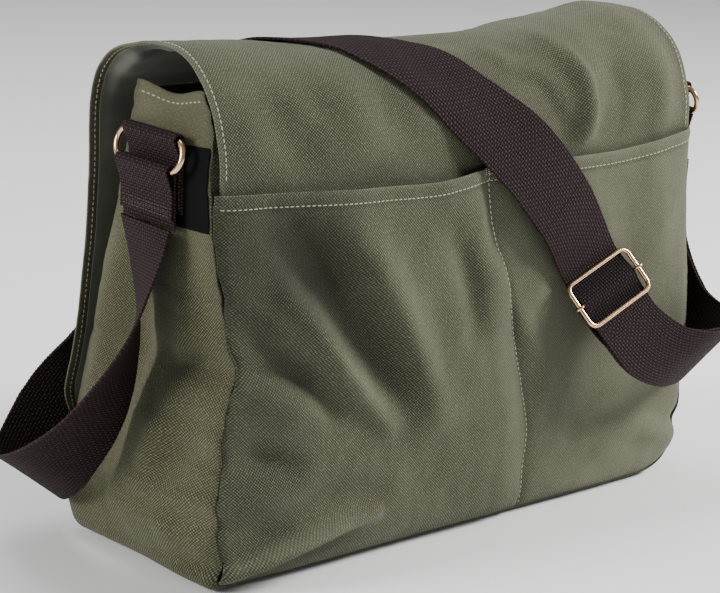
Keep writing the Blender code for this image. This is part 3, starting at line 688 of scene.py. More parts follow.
def build_band():
    """Side walls and base in one strip, between the outlines of the back and front faces."""
    back, front = outline(False), outline(True)
    share = np.linspace(0, 1, int(back.length / GRID))
    A = back.point(share * back.length)
    B = front.point(share * front.length)
    edge = np.array([0, 0.004, 0.009, 0.015, 0.023, 0.033, 0.045])
    v = np.concatenate([edge, np.linspace(0.06, 0.94, int(130 / GRID)), 1 - edge[::-1]])
    middle = (A + B) / 2
    out = band_outward(middle)
    down = np.clip(-out[:, 2], 0, 1)[:, None]
    side = 1 - down
    level = middle[:, 2]
    swell = np.where(middle[:, 0] < 0, profile(LEFT_BULGE, level), profile(RIGHT_BULGE, level))
    bulge = swell[:, None] * side + (SEAM_Z - BASE_LIFT) * down
    hump = 1 - np.abs(2 * v[None, :] - 1) ** (2.6 * side + 40.0 * down)
    P = A[:, None] * (1 - v[None, :, None]) + B[:, None] * v[None, :, None]
    Y, Z = P[..., 1], P[..., 2]
    relief = (folds(Y, Z, SIDE_FOLDS) + 1.6 * fractal(Y / 34, Z / 42, 5)) * side
    relief = relief * (0.25 + 0.75 * smoothstep(215 - Z, 0, 40)) * smoothstep(283 - Z, 0, 20)
    relief = relief * hump ** 0.4
    from_back, from_front = v[None, :] * SIDE_WIDTH, (1 - v[None, :]) * SIDE_WIDTH
    gather = seam_pucker(Z, 11) * fade(from_back, 7.0) * side
    gather += seam_pucker(Z, 15) * fade(from_front, 7.0) * side
    P = P + out[:, None] * (bulge * hump + relief + gather * hump ** 0.3)[..., None]
    low = P[..., 2] < BASE_LIFT
    P[..., 2] = np.where(low, BASE_LIFT + 0.02 * (P[..., 2] - BASE_LIFT), P[..., 2])
    curl = smoothstep(Z, 258, 281) * side
    P[..., 0] -= np.sign(P[..., 0]) * 4.0 * curl * np.sin(np.pi * v)[None, :]
    P[..., 2] -= 5.0 * curl * np.sin(np.pi * v)[None, :] ** 2
    arc = np.concatenate([[0], np.cumsum(np.linalg.norm(np.diff(middle, axis=0), axis=1))])
    U = np.broadcast_to(v[None, :] * 125.0, P.shape[:2])
    V = np.broadcast_to(arc[:, None], P.shape[:2])
    # painted shade along both seams and on the downward-facing base, painted light towards the top of the
    # side walls
    tone = -0.30 * fade(from_back, 2.5) - 0.30 * fade(from_front, 2.5) - 0.25 * down
    tone = tone + 0.10 * smoothstep(Z, 230, 280)
    made = Sheet("bag_gusset", P, U, V, BAND_THICK, CANVAS_SIDE, soft=(1, 1, 0, 0), tone=tone)
    place(made.obj, SHELL, "canvas_gusset", "gusset_band")
    inset = SIDE_STITCH / GRID
    for end, i in enumerate((inset, P.shape[0] - 1 - inset)):
        j = np.linspace(8, P.shape[1] - 9, 60)
        p, n = made.at(np.full(60, i), j, side=made.facing((2 * end - 1.0, 0, 0), int(i)))
        seams.run("shell", p, n, pitch=3.6, length=2.7, seed=3 + end)
    return made, v


# ================================================================ slip pocket, back and front
# the pocket's top edge: (x, height)
HEM = [(-201, 229.5), (-160, 228), (-117, 226), (-80, 224.5), (-43, 223), (5, 226), (60, 226),
       (110, 226.5), (138, 229), (174, 234), (190, 236)]
POCKET_TOP = 228.0     # usual height of the hem
POCKET_THICK = 1.5
FACE_WIDTH, FACE_HEIGHT = 380.0, 216.0  # usual size of a face, for the spacing of its grid
# the seam that divides the pocket, and the pocket's depth before folds: (height, value)
SEAM_X = [(3, 41), (12, 41), (33, 40), (57, 41), (88, 34), (119, 26), (134, 23), (159, 19), (179, 10),
          (199, 4), (223, 0), (236, -1)]
POCKET_Y = [(3, -65), (12, -67.5), (20, -68.5), (55, -69.4), (130, -67), (180, -64.2), (236, -64.2)]


# folds of the pocket: (relief, line of (x, z) points, width)
FOLD_GAIN = 1.3
POCKET_FOLDS = [
    (4.0, [(-197, 180), (-178, 164), (-158, 148), (-140, 130)], 10),
    (-6.0, [(-178, 158), (-154, 136), (-136, 118), (-120, 98)], 8),
    (8.0, [(-156, 172), (-126, 138), (-102, 110), (-78, 84)], 9),
    (-9.0, [(-162, 214), (-122, 170), (-92, 132), (-66, 98)], 17),
    (8.0, [(-112, 208), (-82, 164), (-62, 122), (-40, 82)], 15),
    (-5.0, [(-32, 194), (-16, 160), (-10, 126)], 10),
    (3.0, [(-6, 205), (8, 176), (14, 150)], 9),
    (-4.0, [(-192, 139), (-168, 135), (-140, 120)], 7),
    (3.0, [(-186, 122), (-160, 112), (-130, 98)], 9),
    (-3.6, [(-193, 82), (-170, 80), (-146, 70)], 7),
    (3.0, [(-190, 66), (-165, 54), (-130, 44)], 11),
    (-3.0, [(-190, 27), (-172, 30), (-150, 34)], 6),
    (9.0, [(-192, 9), (-168, 17), (-140, 25), (-112, 30), (-84, 31)], 5.0),
    (-4.0, [(-180, 38), (-150, 45), (-116, 47), (-84, 45)], 9),
    (-3.4, [(3, 219), (5, 186), (15, 158)], 8),
    (2.6, [(8, 165), (32, 128), (48, 97), (54, 60)], 10),
    (-2.2, [(46, 186), (66, 150), (80, 118), (98, 84), (88, 54)], 12),
    (2.4, [(146, 226), (153, 186), (152, 146)], 15),
    (-2.0, [(110, 200), (120, 170), (122, 140)], 13),
    (-3.4, [(100, 52), (128, 58), (152, 54), (184, 40)], 8),
    (3.4, [(108, 34), (136, 40), (160, 34), (182, 27)], 9),
    (-2.0, [(60, 26), (90, 20), (120, 18)], 9),
]


# painted shade (positive) and painted light (negative) along the pocket's folds: (amount, line of (x, z)
# points, width)
POCKET_SHADE = [
    (0.36, [(-152, 206), (-122, 170), (-92, 132), (-66, 98)], 15),
    (-0.30, [(-128, 140), (-104, 112), (-80, 86)], 6),
    (-0.12, [(-104, 200), (-80, 164), (-58, 122), (-40, 82)], 10),
    (0.30, [(-178, 158), (-154, 136), (-136, 118), (-120, 98)], 9),
    (0.44, [(-184, 5), (-156, 11), (-128, 15), (-98, 18)], 8),
    (-0.26, [(-188, 12), (-160, 22), (-130, 30), (-100, 34)], 4.5),
]


def at_least(height, lowest):
    """Soft lower limit, so that a fold never cuts through the cloth behind it."""
    return 0.5 * (height + lowest + np.sqrt((height - lowest) ** 2 + 1.0))


def pocket_relief(x, z):
    """Outward relief of the pocket: soft folds, the dividing seam and gathered edges."""
    left, right = left_x(z), right_x(z)
    seam = profile(SEAM_X, z)
    low = np.clip((z - SEAM_Z) / (POCKET_TOP - SEAM_Z), 0, 1)
    body = np.sin(np.pi * np.clip(0.06 + 0.88 * low, 0, 1)) ** 0.7
    wall_l = np.clip((x - left) / 60, 0, 1)
    wall_m = np.clip(np.abs(x - seam) / 26, 0, 1)
    wall_r = np.clip((right - x) / 50, 0, 1)
    is_left = x < seam
    crown = np.where(is_left, 9.0 * np.sin(wall_l * np.pi / 2) * np.sin(wall_m * np.pi / 2),
                     2.2 * np.sin(wall_r * np.pi / 2) * np.sin(wall_m * np.pi / 2))
    relief = crown * (0.25 + 0.75 * body)
    relief += FOLD_GAIN * folds(x, z, POCKET_FOLDS)
    relief += 1.0 * fractal(x / 55, z / 60, 21) * wall_l * wall_r
    relief += 0.35 * fractal(x / 14, z / 16, 33)
    gather = fade(x - left, 9.0)
    relief += 1.3 * gather * noise(z / 8.5, x * 0, 41)
    relief += 0.5 * fade(np.abs(x - seam), 5.0) * noise(z / 5.5, x * 0 + np.sign(x - seam), 47)
    relief -= 1.5 * bell(x - seam, 2.6)
    relief += 0.7 * fade(z - SEAM_Z, 6.0) * noise(x / 9.0, z * 0, 52)
    roll = 3.2 * fade(x - left, 3.2) + 3.2 * fade(right - x, 3.2) + 1.2 * fade(z - SEAM_Z, 2.0)
    return relief * smoothstep(z, 2, 16) ** 0.5 - roll


def strap_guard(x, z):
    """Share of the relief kept where the strap lies over the pocket."""
    drop = np.clip((236 - z) / 150.0, 0, 1)
    line = 20 + 130 * drop
    return 1 - 0.8 * bell(x - line, 38.0) * smoothstep(z, 60, 90)


def face_grid(high_of, left_of=left_x, right_of=right_x):
    """Grid over a face between its two side seams, from the base seam up to a top line."""
    a = spaced(FACE_WIDTH, GRID, (1, 1), 1.2) / FACE_WIDTH
    b = spaced(FACE_HEIGHT, GRID, (1, 1), 1.0) / FACE_HEIGHT
    a, b = np.meshgrid(a, b)
    z = SEAM_Z + (POCKET_TOP - SEAM_Z) * b
    x = left_of(z) + (right_of(z) - left_of(z)) * a
    z = SEAM_Z + (high_of(x) - SEAM_Z) * b
    x = left_of(z) + (right_of(z) - left_of(z)) * a
    return x, z


def build_pocket():
    x, z = face_grid(lambda x: profile(HEM, x))
    relief = pocket_relief(x, z)
    from_left, from_right = x - left_x(z), right_x(z) - x
    lowest = (POCKET_DEEPEST - 4 * smoothstep(20 - z, 0, 10)
              - 8 * fade(from_left, 3.0) - 8 * fade(from_right, 3.0))
    relief = at_least(relief * np.where(relief > 0, strap_guard(x, z), 1), lowest)
    hem = profile(HEM, x) - z
    open_mouth = 2.4 * fade(hem, 22.0) * np.sin(np.pi * np.clip((x + 185) / 180, 0, 1)) ** 2
    ledge = -0.45 * smoothstep(hem, 6.6, 9.0) + 0.5 * bell(hem - 3.6, 3.0)
    ditch = -0.35 * bell(hem - 7.6, 1.0)
    y = profile(POCKET_Y, z) - relief - open_mouth - ledge - ditch
    P = np.stack([x, y, z], -1)
    # painted light: the right of the pocket and its lower right corner lighter
    painted_light = smoothstep(x, -60, 180) * 0.27 + 0.10 * smoothstep(60 - z, 0, 50) * smoothstep(x, 60, 150)
    # painted shade over the pocket's upper left and lower down its left side, with the painted shade and
    # light along its folds
    shade = (0.50 * np.exp(-((x + 158) / 52) ** 4 - ((z - 190) / 36) ** 4)
             + 0.25 * bell(x + 165, 30) * bell(z - 100, 40) + folds(x, z, POCKET_SHADE))
    # painted highlights along the hem's edge and beside the left seam, painted shade below the hem's stitch
    # line and along the side, base and dividing seams
    tone = (painted_light - shade + 0.28 * fade(hem, 0.8) - 0.22 * bell(hem - 8.8, 1.2)
            - 0.30 * fade(from_left, 2.2) - 0.12 * fade(from_right, 2.2) - 0.28 * fade(z - SEAM_Z, 2.6)
            - 0.18 * bell(x - profile(SEAM_X, z), 1.6) + 0.10 * bell(from_left - 5, 3.0))
    made = Sheet("bag_pocket", P, x, z, POCKET_THICK, CANVAS, tone=tone)
    place(made.obj, SHELL, "canvas_pocket", "back_pocket")
    place_pocket_stitches(made, x, z)


def on_face(made, x, z, xs, zs, side):
    """Grid places of the points (xs, zs) on a face whose grid has coordinates x, z."""
    rows, cols = [], []
    for px, pz in zip(xs, zs):
        i = np.argmin(np.abs(z[:, z.shape[1] // 2] - pz))
        for _ in range(3):
            j = np.interp(px, x[i], np.arange(x.shape[1]))
            column = z[:, int(j)]
            i = int(round(np.interp(pz, column, np.arange(z.shape[0]))))
        rows.append(np.interp(pz, z[:, int(j)], np.arange(z.shape[0])))
        cols.append(j)
    return made.at(np.array(rows), np.array(cols), side)


def place_pocket_stitches(made, x, z):
    xs = np.linspace(-194, 181, 190)
    p, n = on_face(made, x, z, xs, profile(HEM, xs) - HEM_STITCH, made.facing((0, -1, 0)))
    seams.run("shell", p, n, seed=5)
    zs = np.linspace(SEAM_Z + 2, 224, 120)
    p, n = on_face(made, x, z, profile(SEAM_X, zs), zs, made.facing((0, -1, 0)))
    seams.run("shell", p, n, pitch=3.5, seed=6)
    for k in range(6):
        xs = np.linspace(-4.5, 3.5, 8)
        zs = 222.5 + (0.7 if k % 2 else 0) + k * 0.55 + 0 * xs
        p, n = on_face(made, x, z, xs, zs, made.facing((0, -1, 0)))
        seams.run("shell", p, n, pitch=2.2, length=2.2, radius=0.3, seed=70 + k)


PANEL_THICK = 1.6
PANEL_INSET = 0.85  # middle of a panel's cloth inside its face's outline
MOUTH_STITCH = 9.5


def build_panel(name, depth, top, node_name, flip):
    left_of, right_of = (front_left_x, front_right_x) if flip else (left_x, right_x)
    x, z = face_grid(lambda x: 0 * x + top, left_of, right_of)
    from_left, from_right = x - left_of(z), right_of(z) - x
    roll = 3.0 * fade(from_left, 3.0) + 3.0 * fade(from_right, 3.0) + 1.2 * fade(z - SEAM_Z, 2.0)
    soft = 1.0 * fractal(x / 70, z / 60, 61 + flip) + 0.3 * fractal(x / 16, z / 18, 65)
    sign = 1 if flip else -1
    y = profile(depth, z) + sign * (np.minimum(soft, 0.6) - roll - PANEL_INSET)
    # painted shade along the side seams
    tone = -0.25 * fade(from_left, 2.5) - 0.25 * fade(from_right, 2.5)
    made = Sheet(name, np.stack([x, y, z], -1), x, z, PANEL_THICK, CANVAS, tone=tone)
    place(made.obj, SHELL, "canvas_body", node_name)
    if flip:
        xs = np.linspace(-190, 178, 160)
        p, n = on_face(made, x, z, xs, 0 * xs + top - MOUTH_STITCH, made.facing((0, 1, 0)))
        seams.run("shell", p, n, seed=9)


# ================================================================ flap
FLAP = [(-61.5, 196), (-61, 228), (-55.5, 257), (-42, 281), (-14, 297), (20, 298), (50, 286),
        (66, 259), (67, 215), (67, 150), (75, 105), (83, 72), (88, 46)]
FLAP_TOP = [(-195, 3), (-178, 2.5), (-160, 1.5), (-133, -2), (-110, -4.5), (-85, -6), (-51, -7),
            (-12, -9), (10, -11), (28, -9), (43, -8), (61, -6), (80, -3), (96, 0), (131, 4.5), (160, 7.5),
            (180, 5.5)]
flap_path = Path(catmull(FLAP, 16))
FLAP_LEFT, FLAP_RIGHT = -193.0, 179.0
FLAP_CORNER = 40.0
EDGE_STITCH = 3.6  # stitch line in from the flap's edges
FLAP_PEAK = 137.0  # distance along the flap where its two sheets meet, on the crest
SNAP_X = 110.0
# inset from the flap's edges, middle below its outer face, thickness
OUTER_SHEET = (0.0, 0.75, 1.5)
LINING_SHEET = (6.0, 1.85, 0.6)
SNAP_FLAT = 24.0  # the flap keeps flat this far round a snap
SNAP_S = float(flap_path.at[np.flatnonzero(flap_path.points[:, 1] > 84)[-1]])


# folds of the flap over the back and down the front: (relief, line of (x, height), width)
FLAP_FOLDS = [
    (8.5, [(76, 292), (84, 270), (84, 250), (78, 226)], 9),
    (-6.0, [(40, 284), (50, 262), (60, 240)], 13),
    (-5.0, [(118, 284), (114, 258), (102, 232)], 11),
    (5.0, [(146, 296), (152, 262), (146, 232)], 12),
    (4.5, [(-24, 292), (20, 290), (48, 276), (70, 258)], 9),
    (-4.0, [(-40, 282), (0, 270), (30, 262)], 11),
    (3.5, [(-120, 292), (-100, 270), (-92, 244)], 15),
    (-3.5, [(-156, 284), (-146, 260), (-132, 236)], 13),
    (-2.5, [(-70, 290), (-66, 262), (-60, 236)], 14),
    (2.5, [(-174, 262), (-166, 244)], 12),
]
FRONT_FOLDS = [
    (4.0, [(-130, 240), (-110, 150), (-130, 60)], 24),
    (-3.5, [(-50, 250), (-40, 160), (-60, 70)], 26),
    (3.0, [(50, 230), (60, 140), (40, 60)], 26),
    (-3.0, [(130, 240), (120, 150), (140, 60)], 24),
]


def flap_point(x, s):
    """Outer face of the flap at across place x and distance s along its profile."""
    p = flap_path.point(s)
    t = flap_path.tangent(s)
    ny, nz = -t[..., 1], t[..., 0]
    up = np.clip(nz, 0, 1)
    arch = np.sin(np.pi * np.clip((s - 60) / 160, 0, 1))
    lift = profile(FLAP_TOP, x) * arch ** 0.8 * (0.35 + 0.65 * up)
    hang = np.clip((s - 230) / 200, 0, 1)
    lift = lift + 9.0 * hang ** 2 * fade(x - FLAP_LEFT, 55.0)
    h = p[..., 1]
    soft = 1.2 * fractal(x / 60, s / 55, 81) * smoothstep(s, 40, 90)
    soft += 0.3 * fractal(x / 15, s / 15, 85)
    back_folds = folds(x, h, FLAP_FOLDS) * smoothstep(s, 28, 46) * smoothstep(172 - s, 0, 40)
    front_folds = folds(x, h, FRONT_FOLDS) * smoothstep(s, 190, 235)
    shoulder = 3.5 * bell(s - 200, 26.0) * fade(x - FLAP_LEFT, 50.0)
    room = 3.0 * smoothstep(s, 30, 60) * smoothstep(150 - s, 0, 50)
    out = lift + soft + back_folds + front_folds + shoulder + room
    away = np.minimum((x - SNAP_X) ** 2, (x + SNAP_X) ** 2) + (s - SNAP_S) ** 2
    out = out * (1 - np.exp(-away / SNAP_FLAT ** 2))
    deepest = -0.6 - 5.0 * smoothstep(s, 66, 100)
    out = at_least(out, deepest)
    return np.stack([x, p[..., 0] + ny * out, p[..., 1] + nz * out], -1)


def flap_edge(s):
    """Left and right edges of the flap, with rounded free corners."""
    left = flap_path.length - s
    reach = np.clip(FLAP_CORNER - left, 0, FLAP_CORNER)
    cut = FLAP_CORNER - np.sqrt(np.maximum(FLAP_CORNER ** 2 - reach ** 2, 0))
    wave = 1.2 * noise(s / 60, s * 0, 91)
    return FLAP_LEFT + cut + wave - 5 * smoothstep(s, 240, 330), FLAP_RIGHT - cut + wave


def flap_sheet(name, s0, s1, lining, bend, soft, *nodes):
    """One sheet of the flap from distance s0 to s1: the outer canvas, or the lining inside it."""
    inset, offset, thick = LINING_SHEET if lining else OUTER_SHEET
    rows = spaced(s1 - s0, GRID, soft, thick / 2) + s0
    if soft[1]:
        fine = flap_path.length - (flap_path.length - (s1 - 40)) * np.linspace(1, 0, 26) ** 1.8
        rows = np.unique(np.concatenate([rows[rows < s1 - 40], np.clip(fine, s0, s1)]))
        rows = rows[np.concatenate([[True], np.diff(rows) > 0.02])]
    cols = spaced(374, GRID, (1, 1), thick / 2) / 374
    s, a = np.meshgrid(rows, cols, indexing="ij")
    left, right = flap_edge(s)
    x = left + inset + (right - left - 2 * inset) * a
    P = flap_point(x, s)
    N = normals_of(P)
    outward = np.sign(np.sum(N[..., 1:] * np.stack([-flap_path.tangent(s)[..., 1],
                                                    flap_path.tangent(s)[..., 0]], -1), -1))
    P = P - N * outward[..., None] * offset
    edge = np.minimum(x - left, right - x)
    edge = np.minimum(edge, flap_path.length - s)
    if lining:
        gather = fade(x - FLAP_LEFT, 70.0) * bell(s - 175, 55.0)
        pull = 3.2 * noise(s / 13.0, x / 45, 95) + 2.0 * noise(s / 40.0, x / 12, 97)
        P = P - N * outward[..., None] * ((pull + 3.6) * gather * smoothstep(edge, 7, 16))[..., None]
    # painted highlight along the edge, painted shade in the ditch inside the stitch line and painted light
    # over the right part
    tone = (0.22 * fade(edge - inset, 1.2) - 0.14 * bell(edge - 5.5, 1.4)
            + 0.13 * smoothstep(x, 10, 170) * smoothstep(270 - s, 0, 150))
    if lining:
        # painted light and shade on the lining's gathers
        tone = tone + (0.55 * noise(s / 13.0, x / 45, 95) - 0.15) * gather
    material, slot = (FLAP_LINING, "flap_lining") if lining else (CANVAS, "canvas_flap")
    made = Sheet(name, P, x, s, thick, material, soft=(*soft, 1, 1), tone=tone)
    place(made.obj, bend, slot, *nodes)
    made.sign = float(np.median(outward))
    made.rows, made.cols = rows, (x, s)
    return made


def flap_line(made, s, x, side=1):
    """Points on the flap's outer (or inner) face along arrays of s and x."""
    i = np.interp(s, made.rows, np.arange(len(made.rows)))
    grid_x = made.cols[0]
    j = []
    for a, px in zip(i, x):
        row = grid_x[int(round(a))]
        j.append(np.interp(px, row, np.arange(len(row))))
    return made.at(i, np.array(j), made.sign * side)


def build_flap():
    end = flap_path.length
    back = flap_sheet("flap_back_canvas", 0.0, FLAP_PEAK, False, BACK_BEND, (1, 0), "flap_back", "flap_top")
    front = flap_sheet("flap_front_canvas", FLAP_PEAK, end, False, FRONT_BEND, (0, 1), "flap_front")
    flap_sheet("flap_back_lining", 70.0, FLAP_PEAK, True, BACK_BEND, (1, 0), "flap_lining_top")
    flap_sheet("flap_front_lining", FLAP_PEAK, end - 6.0, True, FRONT_BEND, (0, 1), "flap_lining_front")
    for made, group, low, high in ((back, "flap_back", 40.0, FLAP_PEAK - 1),
                                   (front, "flap_front", FLAP_PEAK + 1, end - 4)):
        s = np.linspace(low, high, 160)
        left, right = flap_edge(s)
        for x, seed in ((left + EDGE_STITCH, 12), (right - EDGE_STITCH, 13)):
            for side in (1, -1):
                p, n = flap_line(made, s, x, side)
                seams.run(group, p, n, pitch=3.3, length=2.8, radius=0.46, seed=seed)
    xs = np.linspace(FLAP_LEFT + FLAP_CORNER, FLAP_RIGHT - FLAP_CORNER, 160)
    p, n = flap_line(front, np.full(160, end - EDGE_STITCH), xs)
    seams.run("flap_front", p, n, seed=14)


# ================================================================ strap
HALF_WEB = 25.0
WEB_THICK = 1.7
WEB_REST = 2.1         # middle of the webbing above the flap's outer face
LAYER_STEP = 2.3       # pitch of the two strap layers in the right loop
SECOND_LAYER_V = 900   # shifts the second layer's weave along the strap
LEFT_DROP = [((-207.2, -12, 206), (0.03, 1.0, 0.0)),
             ((-208, -13, 184), (0.26, 0.96, -0.1)),
             ((-216, -14, 142), (0.68, 0.73, -0.1)),
             ((-230, 1, 93), (0.96, 0.20, -0.18)),
             ((-240, 35, 54), (0.84, -0.29, -0.46)),
             ((-225, 82, 37), (0.66, -0.42, -0.62)),
             ((-190, 98, 71), (0.75, -0.35, -0.55))]
FLAP_RUN = [(62, -4), (77, -18), (120, -53), (163, -77), (207, -99), (250, -123), (304, -148),
            (358, -166)]
BACK_RUN = [((22, -69, 235), (0.72, 0.12, 0.68)),
            ((57, -73.5, 197), (0.76, 0.08, 0.63))]
SLIDE_AT = np.array((91.5, -81.7, 143.3))
SLIDE_ALONG = np.array((0.31, -0.56, -0.77))
SLIDE_ACROSS = np.array((0.955, 0.03, 0.30))
RIGHT_LOOP = [((120, -103, 104), (0.84, -0.06, 0.54)),
              ((150, -103, 94), (0.66, -0.26, 0.71)),
              ((188, -89.5, 92), (0.51, -0.42, 0.74)),
              ((209, -62, 94), (0.42, -0.68, 0.60)),
              ((213, -30, 113), (0.28, -0.92, 0.30)),
              ((211, -14, 155), (0.0, -1.0, 0.05)),
              ((210, -12, 182), (0.0, -1.0, 0.02)),
              ((210, -12, 206), (0.0, -1.0, 0.0))]
WEB_COLS = 27
STRAP_OPENS_X = -189.0  # the strap is cut into two pieces here, at the flap's left edge
SLIDE_REACH = 96.0  # length of the piece above the slide


def unit(v):
    v = np.array(v, float)
    return v / np.linalg.norm(v)


along = unit(SLIDE_ALONG)
across = unit(SLIDE_ACROSS - along * np.dot(SLIDE_ACROSS, along))
outward = np.cross(along, across)
outward = outward if outward[1] < 0 else -outward
web_v = np.concatenate([[-1, -0.985, -0.95], np.linspace(-0.9, 0.9, WEB_COLS - 6), [0.95, 0.985, 1]])


def straight_row(centre, heading):
    return np.array(centre, float) + unit(heading) * (HALF_WEB * web_v)[:, None]


def strap_rows():
    rows = [straight_row(c, w) for c, w in LEFT_DROP]
    s = FLAP_RUN[-1][0]
    while s >= FLAP_RUN[0][0]:
        x = float(profile(FLAP_RUN, s))
        lean = float(profile(FLAP_RUN, s + 4) - profile(FLAP_RUN, s - 4)) / 8
        size = math.hypot(1.0, lean)
        v = HALF_WEB * web_v
        places = s - v * lean / size
        xs = x + v / size
        face = flap_point(xs, places)
        t = flap_path.tangent(places)
        n = np.stack([0 * xs, -t[:, 1], t[:, 0]], 1)
        rows.append(face + n * WEB_REST)
        s -= 12.0
    rows += [straight_row(c, w) for c, w in BACK_RUN]
    for k in range(6):
        rows.append(straight_row(SLIDE_AT + along * (-20 + 46 * k / 5), across))
    mark = len(rows) - 1
    rows += [straight_row(c, w) for c, w in RIGHT_LOOP]
    return rows, mark


class Strap:
    """Dense strap surface through uneven key rows."""

    def __init__(self, rows):
        rows = np.array(rows)
        mid = rows[:, rows.shape[1] // 2]
        self.keys = np.concatenate([[0], np.cumsum(np.linalg.norm(np.diff(mid, axis=0), axis=1))])
        count = int(self.keys[-1] / WEB_GRID)
        s = np.linspace(0, self.keys[-1], count)
        i = np.clip(np.searchsorted(self.keys, s, side="right") - 1, 0, len(rows) - 2)
        lo, hi = np.maximum(i - 1, 0), np.minimum(i + 2, len(rows) - 1)
        span = (self.keys[i + 1] - self.keys[i])
        t = ((s - self.keys[i]) / span)[:, None, None]
        m0 = (rows[i + 1] - rows[lo]) * (span / (self.keys[i + 1] - self.keys[lo]))[:, None, None]
        m1 = (rows[hi] - rows[i]) * (span / (self.keys[hi] - self.keys[i]))[:, None, None]
        self.P = (rows[i] * (2 * t ** 3 - 3 * t ** 2 + 1) + m0 * (t ** 3 - 2 * t ** 2 + t)
                  + rows[i + 1] * (3 * t ** 2 - 2 * t ** 3) + m1 * (t ** 3 - t ** 2))
        self.N = normals_of(self.P)
        self.s = s
        self.U = np.broadcast_to((web_v * HALF_WEB)[None, :], self.P.shape[:2]).copy()
        self.V = np.broadcast_to(s[:, None], self.P.shape[:2]).copy()

    def row(self, test):
        """Grid row at which each column last passes a test surface."""
        values = test(self.P)
        rows = []
        for j in range(values.shape[1]):
            sign = values[:, j]
            k = np.flatnonzero((sign[:-1] <= 0) & (sign[1:] > 0))[-1]
            rows.append(k + sign[k] / (sign[k] - sign[k + 1]))
        return np.array(rows)

    def piece(self, start, end, shift=0.0):
        """Grid between two cuts given as a row number per column."""
        count = int(np.max(end - start))
        f = np.linspace(0, 1, count)[:, None]
        rows = start[None, :] + (end - start)[None, :] * f
        k = np.clip(rows.astype(int), 0, len(self.s) - 2)
        w = (rows - k)[..., None]
        j = np.broadcast_to(np.arange(self.P.shape[1])[None, :], rows.shape)
        P = self.P[k, j] * (1 - w) + self.P[k + 1, j] * w
        N = self.N[k, j]
        V = self.V[k, j] * (1 - w[..., 0]) + self.V[k + 1, j] * w[..., 0]
        return P + N * shift, self.U[k, j], V


def scallop(P, V):
    """Small waves along both selvedges, where the weft turns back."""
    edge = np.abs(web_v)[None, :]
    out = (P[:, -1] - P[:, 0]) / (2 * HALF_WEB)
    wave = 0.16 * np.sin(V * math.pi / 1.4) + 0.25 * noise(V / 9.0, V * 0 + np.sign(web_v)[None, :], 7)
    push = wave * np.sign(web_v)[None, :] * smoothstep(edge, 0.93, 1.0)
    return P + out[:, None] * push[..., None]


def web_sheet(name, P, U, V, soft=(0, 0), tone=0.0, thick=WEB_THICK):
    """Webbing with waved selvedges, a little lighter along them."""
    tone = tone + 0.06 * smoothstep(np.abs(web_v)[None, :], 0.9, 1.0)
    return Sheet(name, scallop(P, V), U, V, thick, WEBBING, soft=(*soft, 1, 1), tone=tone)


def build_strap():
    """The strap in one surface, cut into pieces where it meets another body."""
    rows, mark = strap_rows()
    strap = Strap(rows)
    first = np.zeros(WEB_COLS)
    last = np.full(WEB_COLS, len(strap.s) - 1.001)
    edge = strap.row(lambda P: P[..., 0] - STRAP_OPENS_X)
    peak, peak_t = flap_path.point(FLAP_PEAK), flap_path.tangent(FLAP_PEAK)
    over = strap.row(lambda P: -((P[..., 1] - peak[0]) * peak_t[0] + (P[..., 2] - peak[1]) * peak_t[1]))
    loop = np.full(WEB_COLS, strap.keys[mark] / strap.keys[-1] * (len(strap.s) - 1))
    high = loop - SLIDE_REACH / WEB_GRID
    for name, start, end, bend, nodes in (
            ("strap_left_loop", first, edge, LEFT_LOOP_BEND, ("strap_left_drop",)),
            ("strap_front_run_webbing", edge, over, FRONT_BEND, ("strap_front_run", "strap_top_run")),
            ("strap_back_run_webbing", over, high, BACK_BEND, ("strap_back_run",))):
        piece = web_sheet(name, *strap.piece(start, end))
        place(piece.obj, bend, "webbing", *nodes)
    build_slide_run(strap, high, loop)
    build_right_loop(strap, loop, last)


def build_slide_run(strap, high, loop):
    """Webbing by the slide, humped over the bar, with painted shade inside the frame."""
    P, U, V = strap.piece(high, loop)
    d = (P - SLIDE_AT) @ along
    hump, dip = bell(d, 6.0), bell(np.abs(d) - 12, 6.0)
    P = P + outward * (2.0 * hump - 0.3 * dip)[..., None]
    # painted shade inside the frame, deepest in the dips by its ends
    shade = smoothstep(15 - np.abs(d), 0, 3)
    piece = web_sheet("strap_slide_webbing", P, U, V, tone=-shade * (0.35 + 0.45 * dip))
    place(piece.obj, (SLIDE, SHELL, SLIDE_AT - along * 20, SLIDE_AT - along * 54), "webbing")


def build_right_loop(strap, loop, last):
    """Two layers from the slide round to the right ring, each cut into a piece by the slide and a piece on
    to the ring.
    """
    low = loop + SLIDE_REACH * 0.6 / WEB_GRID
    bend = (SLIDE, SHELL, SLIDE_AT + along * 27, SLIDE_AT + along * 50)
    layers = (("strap_slide_loop_webbing", "strap_right_loop", loop, 0.0, 0, ()),
              ("strap_slide_return_webbing", "strap_right_return_webbing", loop + 2.0 / WEB_GRID,
               -LAYER_STEP, SECOND_LAYER_V, ("strap_right_return",)))
    for slide_name, loop_name, start, shift, v_shift, nodes in layers:
        P, U, V = strap.piece(start, low, shift=shift)
        piece = web_sheet(slide_name, P, U, V + v_shift)
        place(piece.obj, bend, "webbing")
        P, U, V = strap.piece(low, last, shift=shift)
        piece = web_sheet(loop_name, P, U, V + v_shift)
        place(piece.obj, RIGHT_LOOP_BEND, "webbing", *nodes)


# ================================================================ anchors
ANCHOR_Y = -12.0
BAR_X, BAR_Z = 203.2, 255.0
LOW_X, LOW_Z = 208.0, 238.0
RING_WIRE = 1.75
RING_HALF = 33.0
FOLDED_THICK = 1.5
FOLD_RADIUS = RING_WIRE + 0.6 + FOLDED_THICK / 2


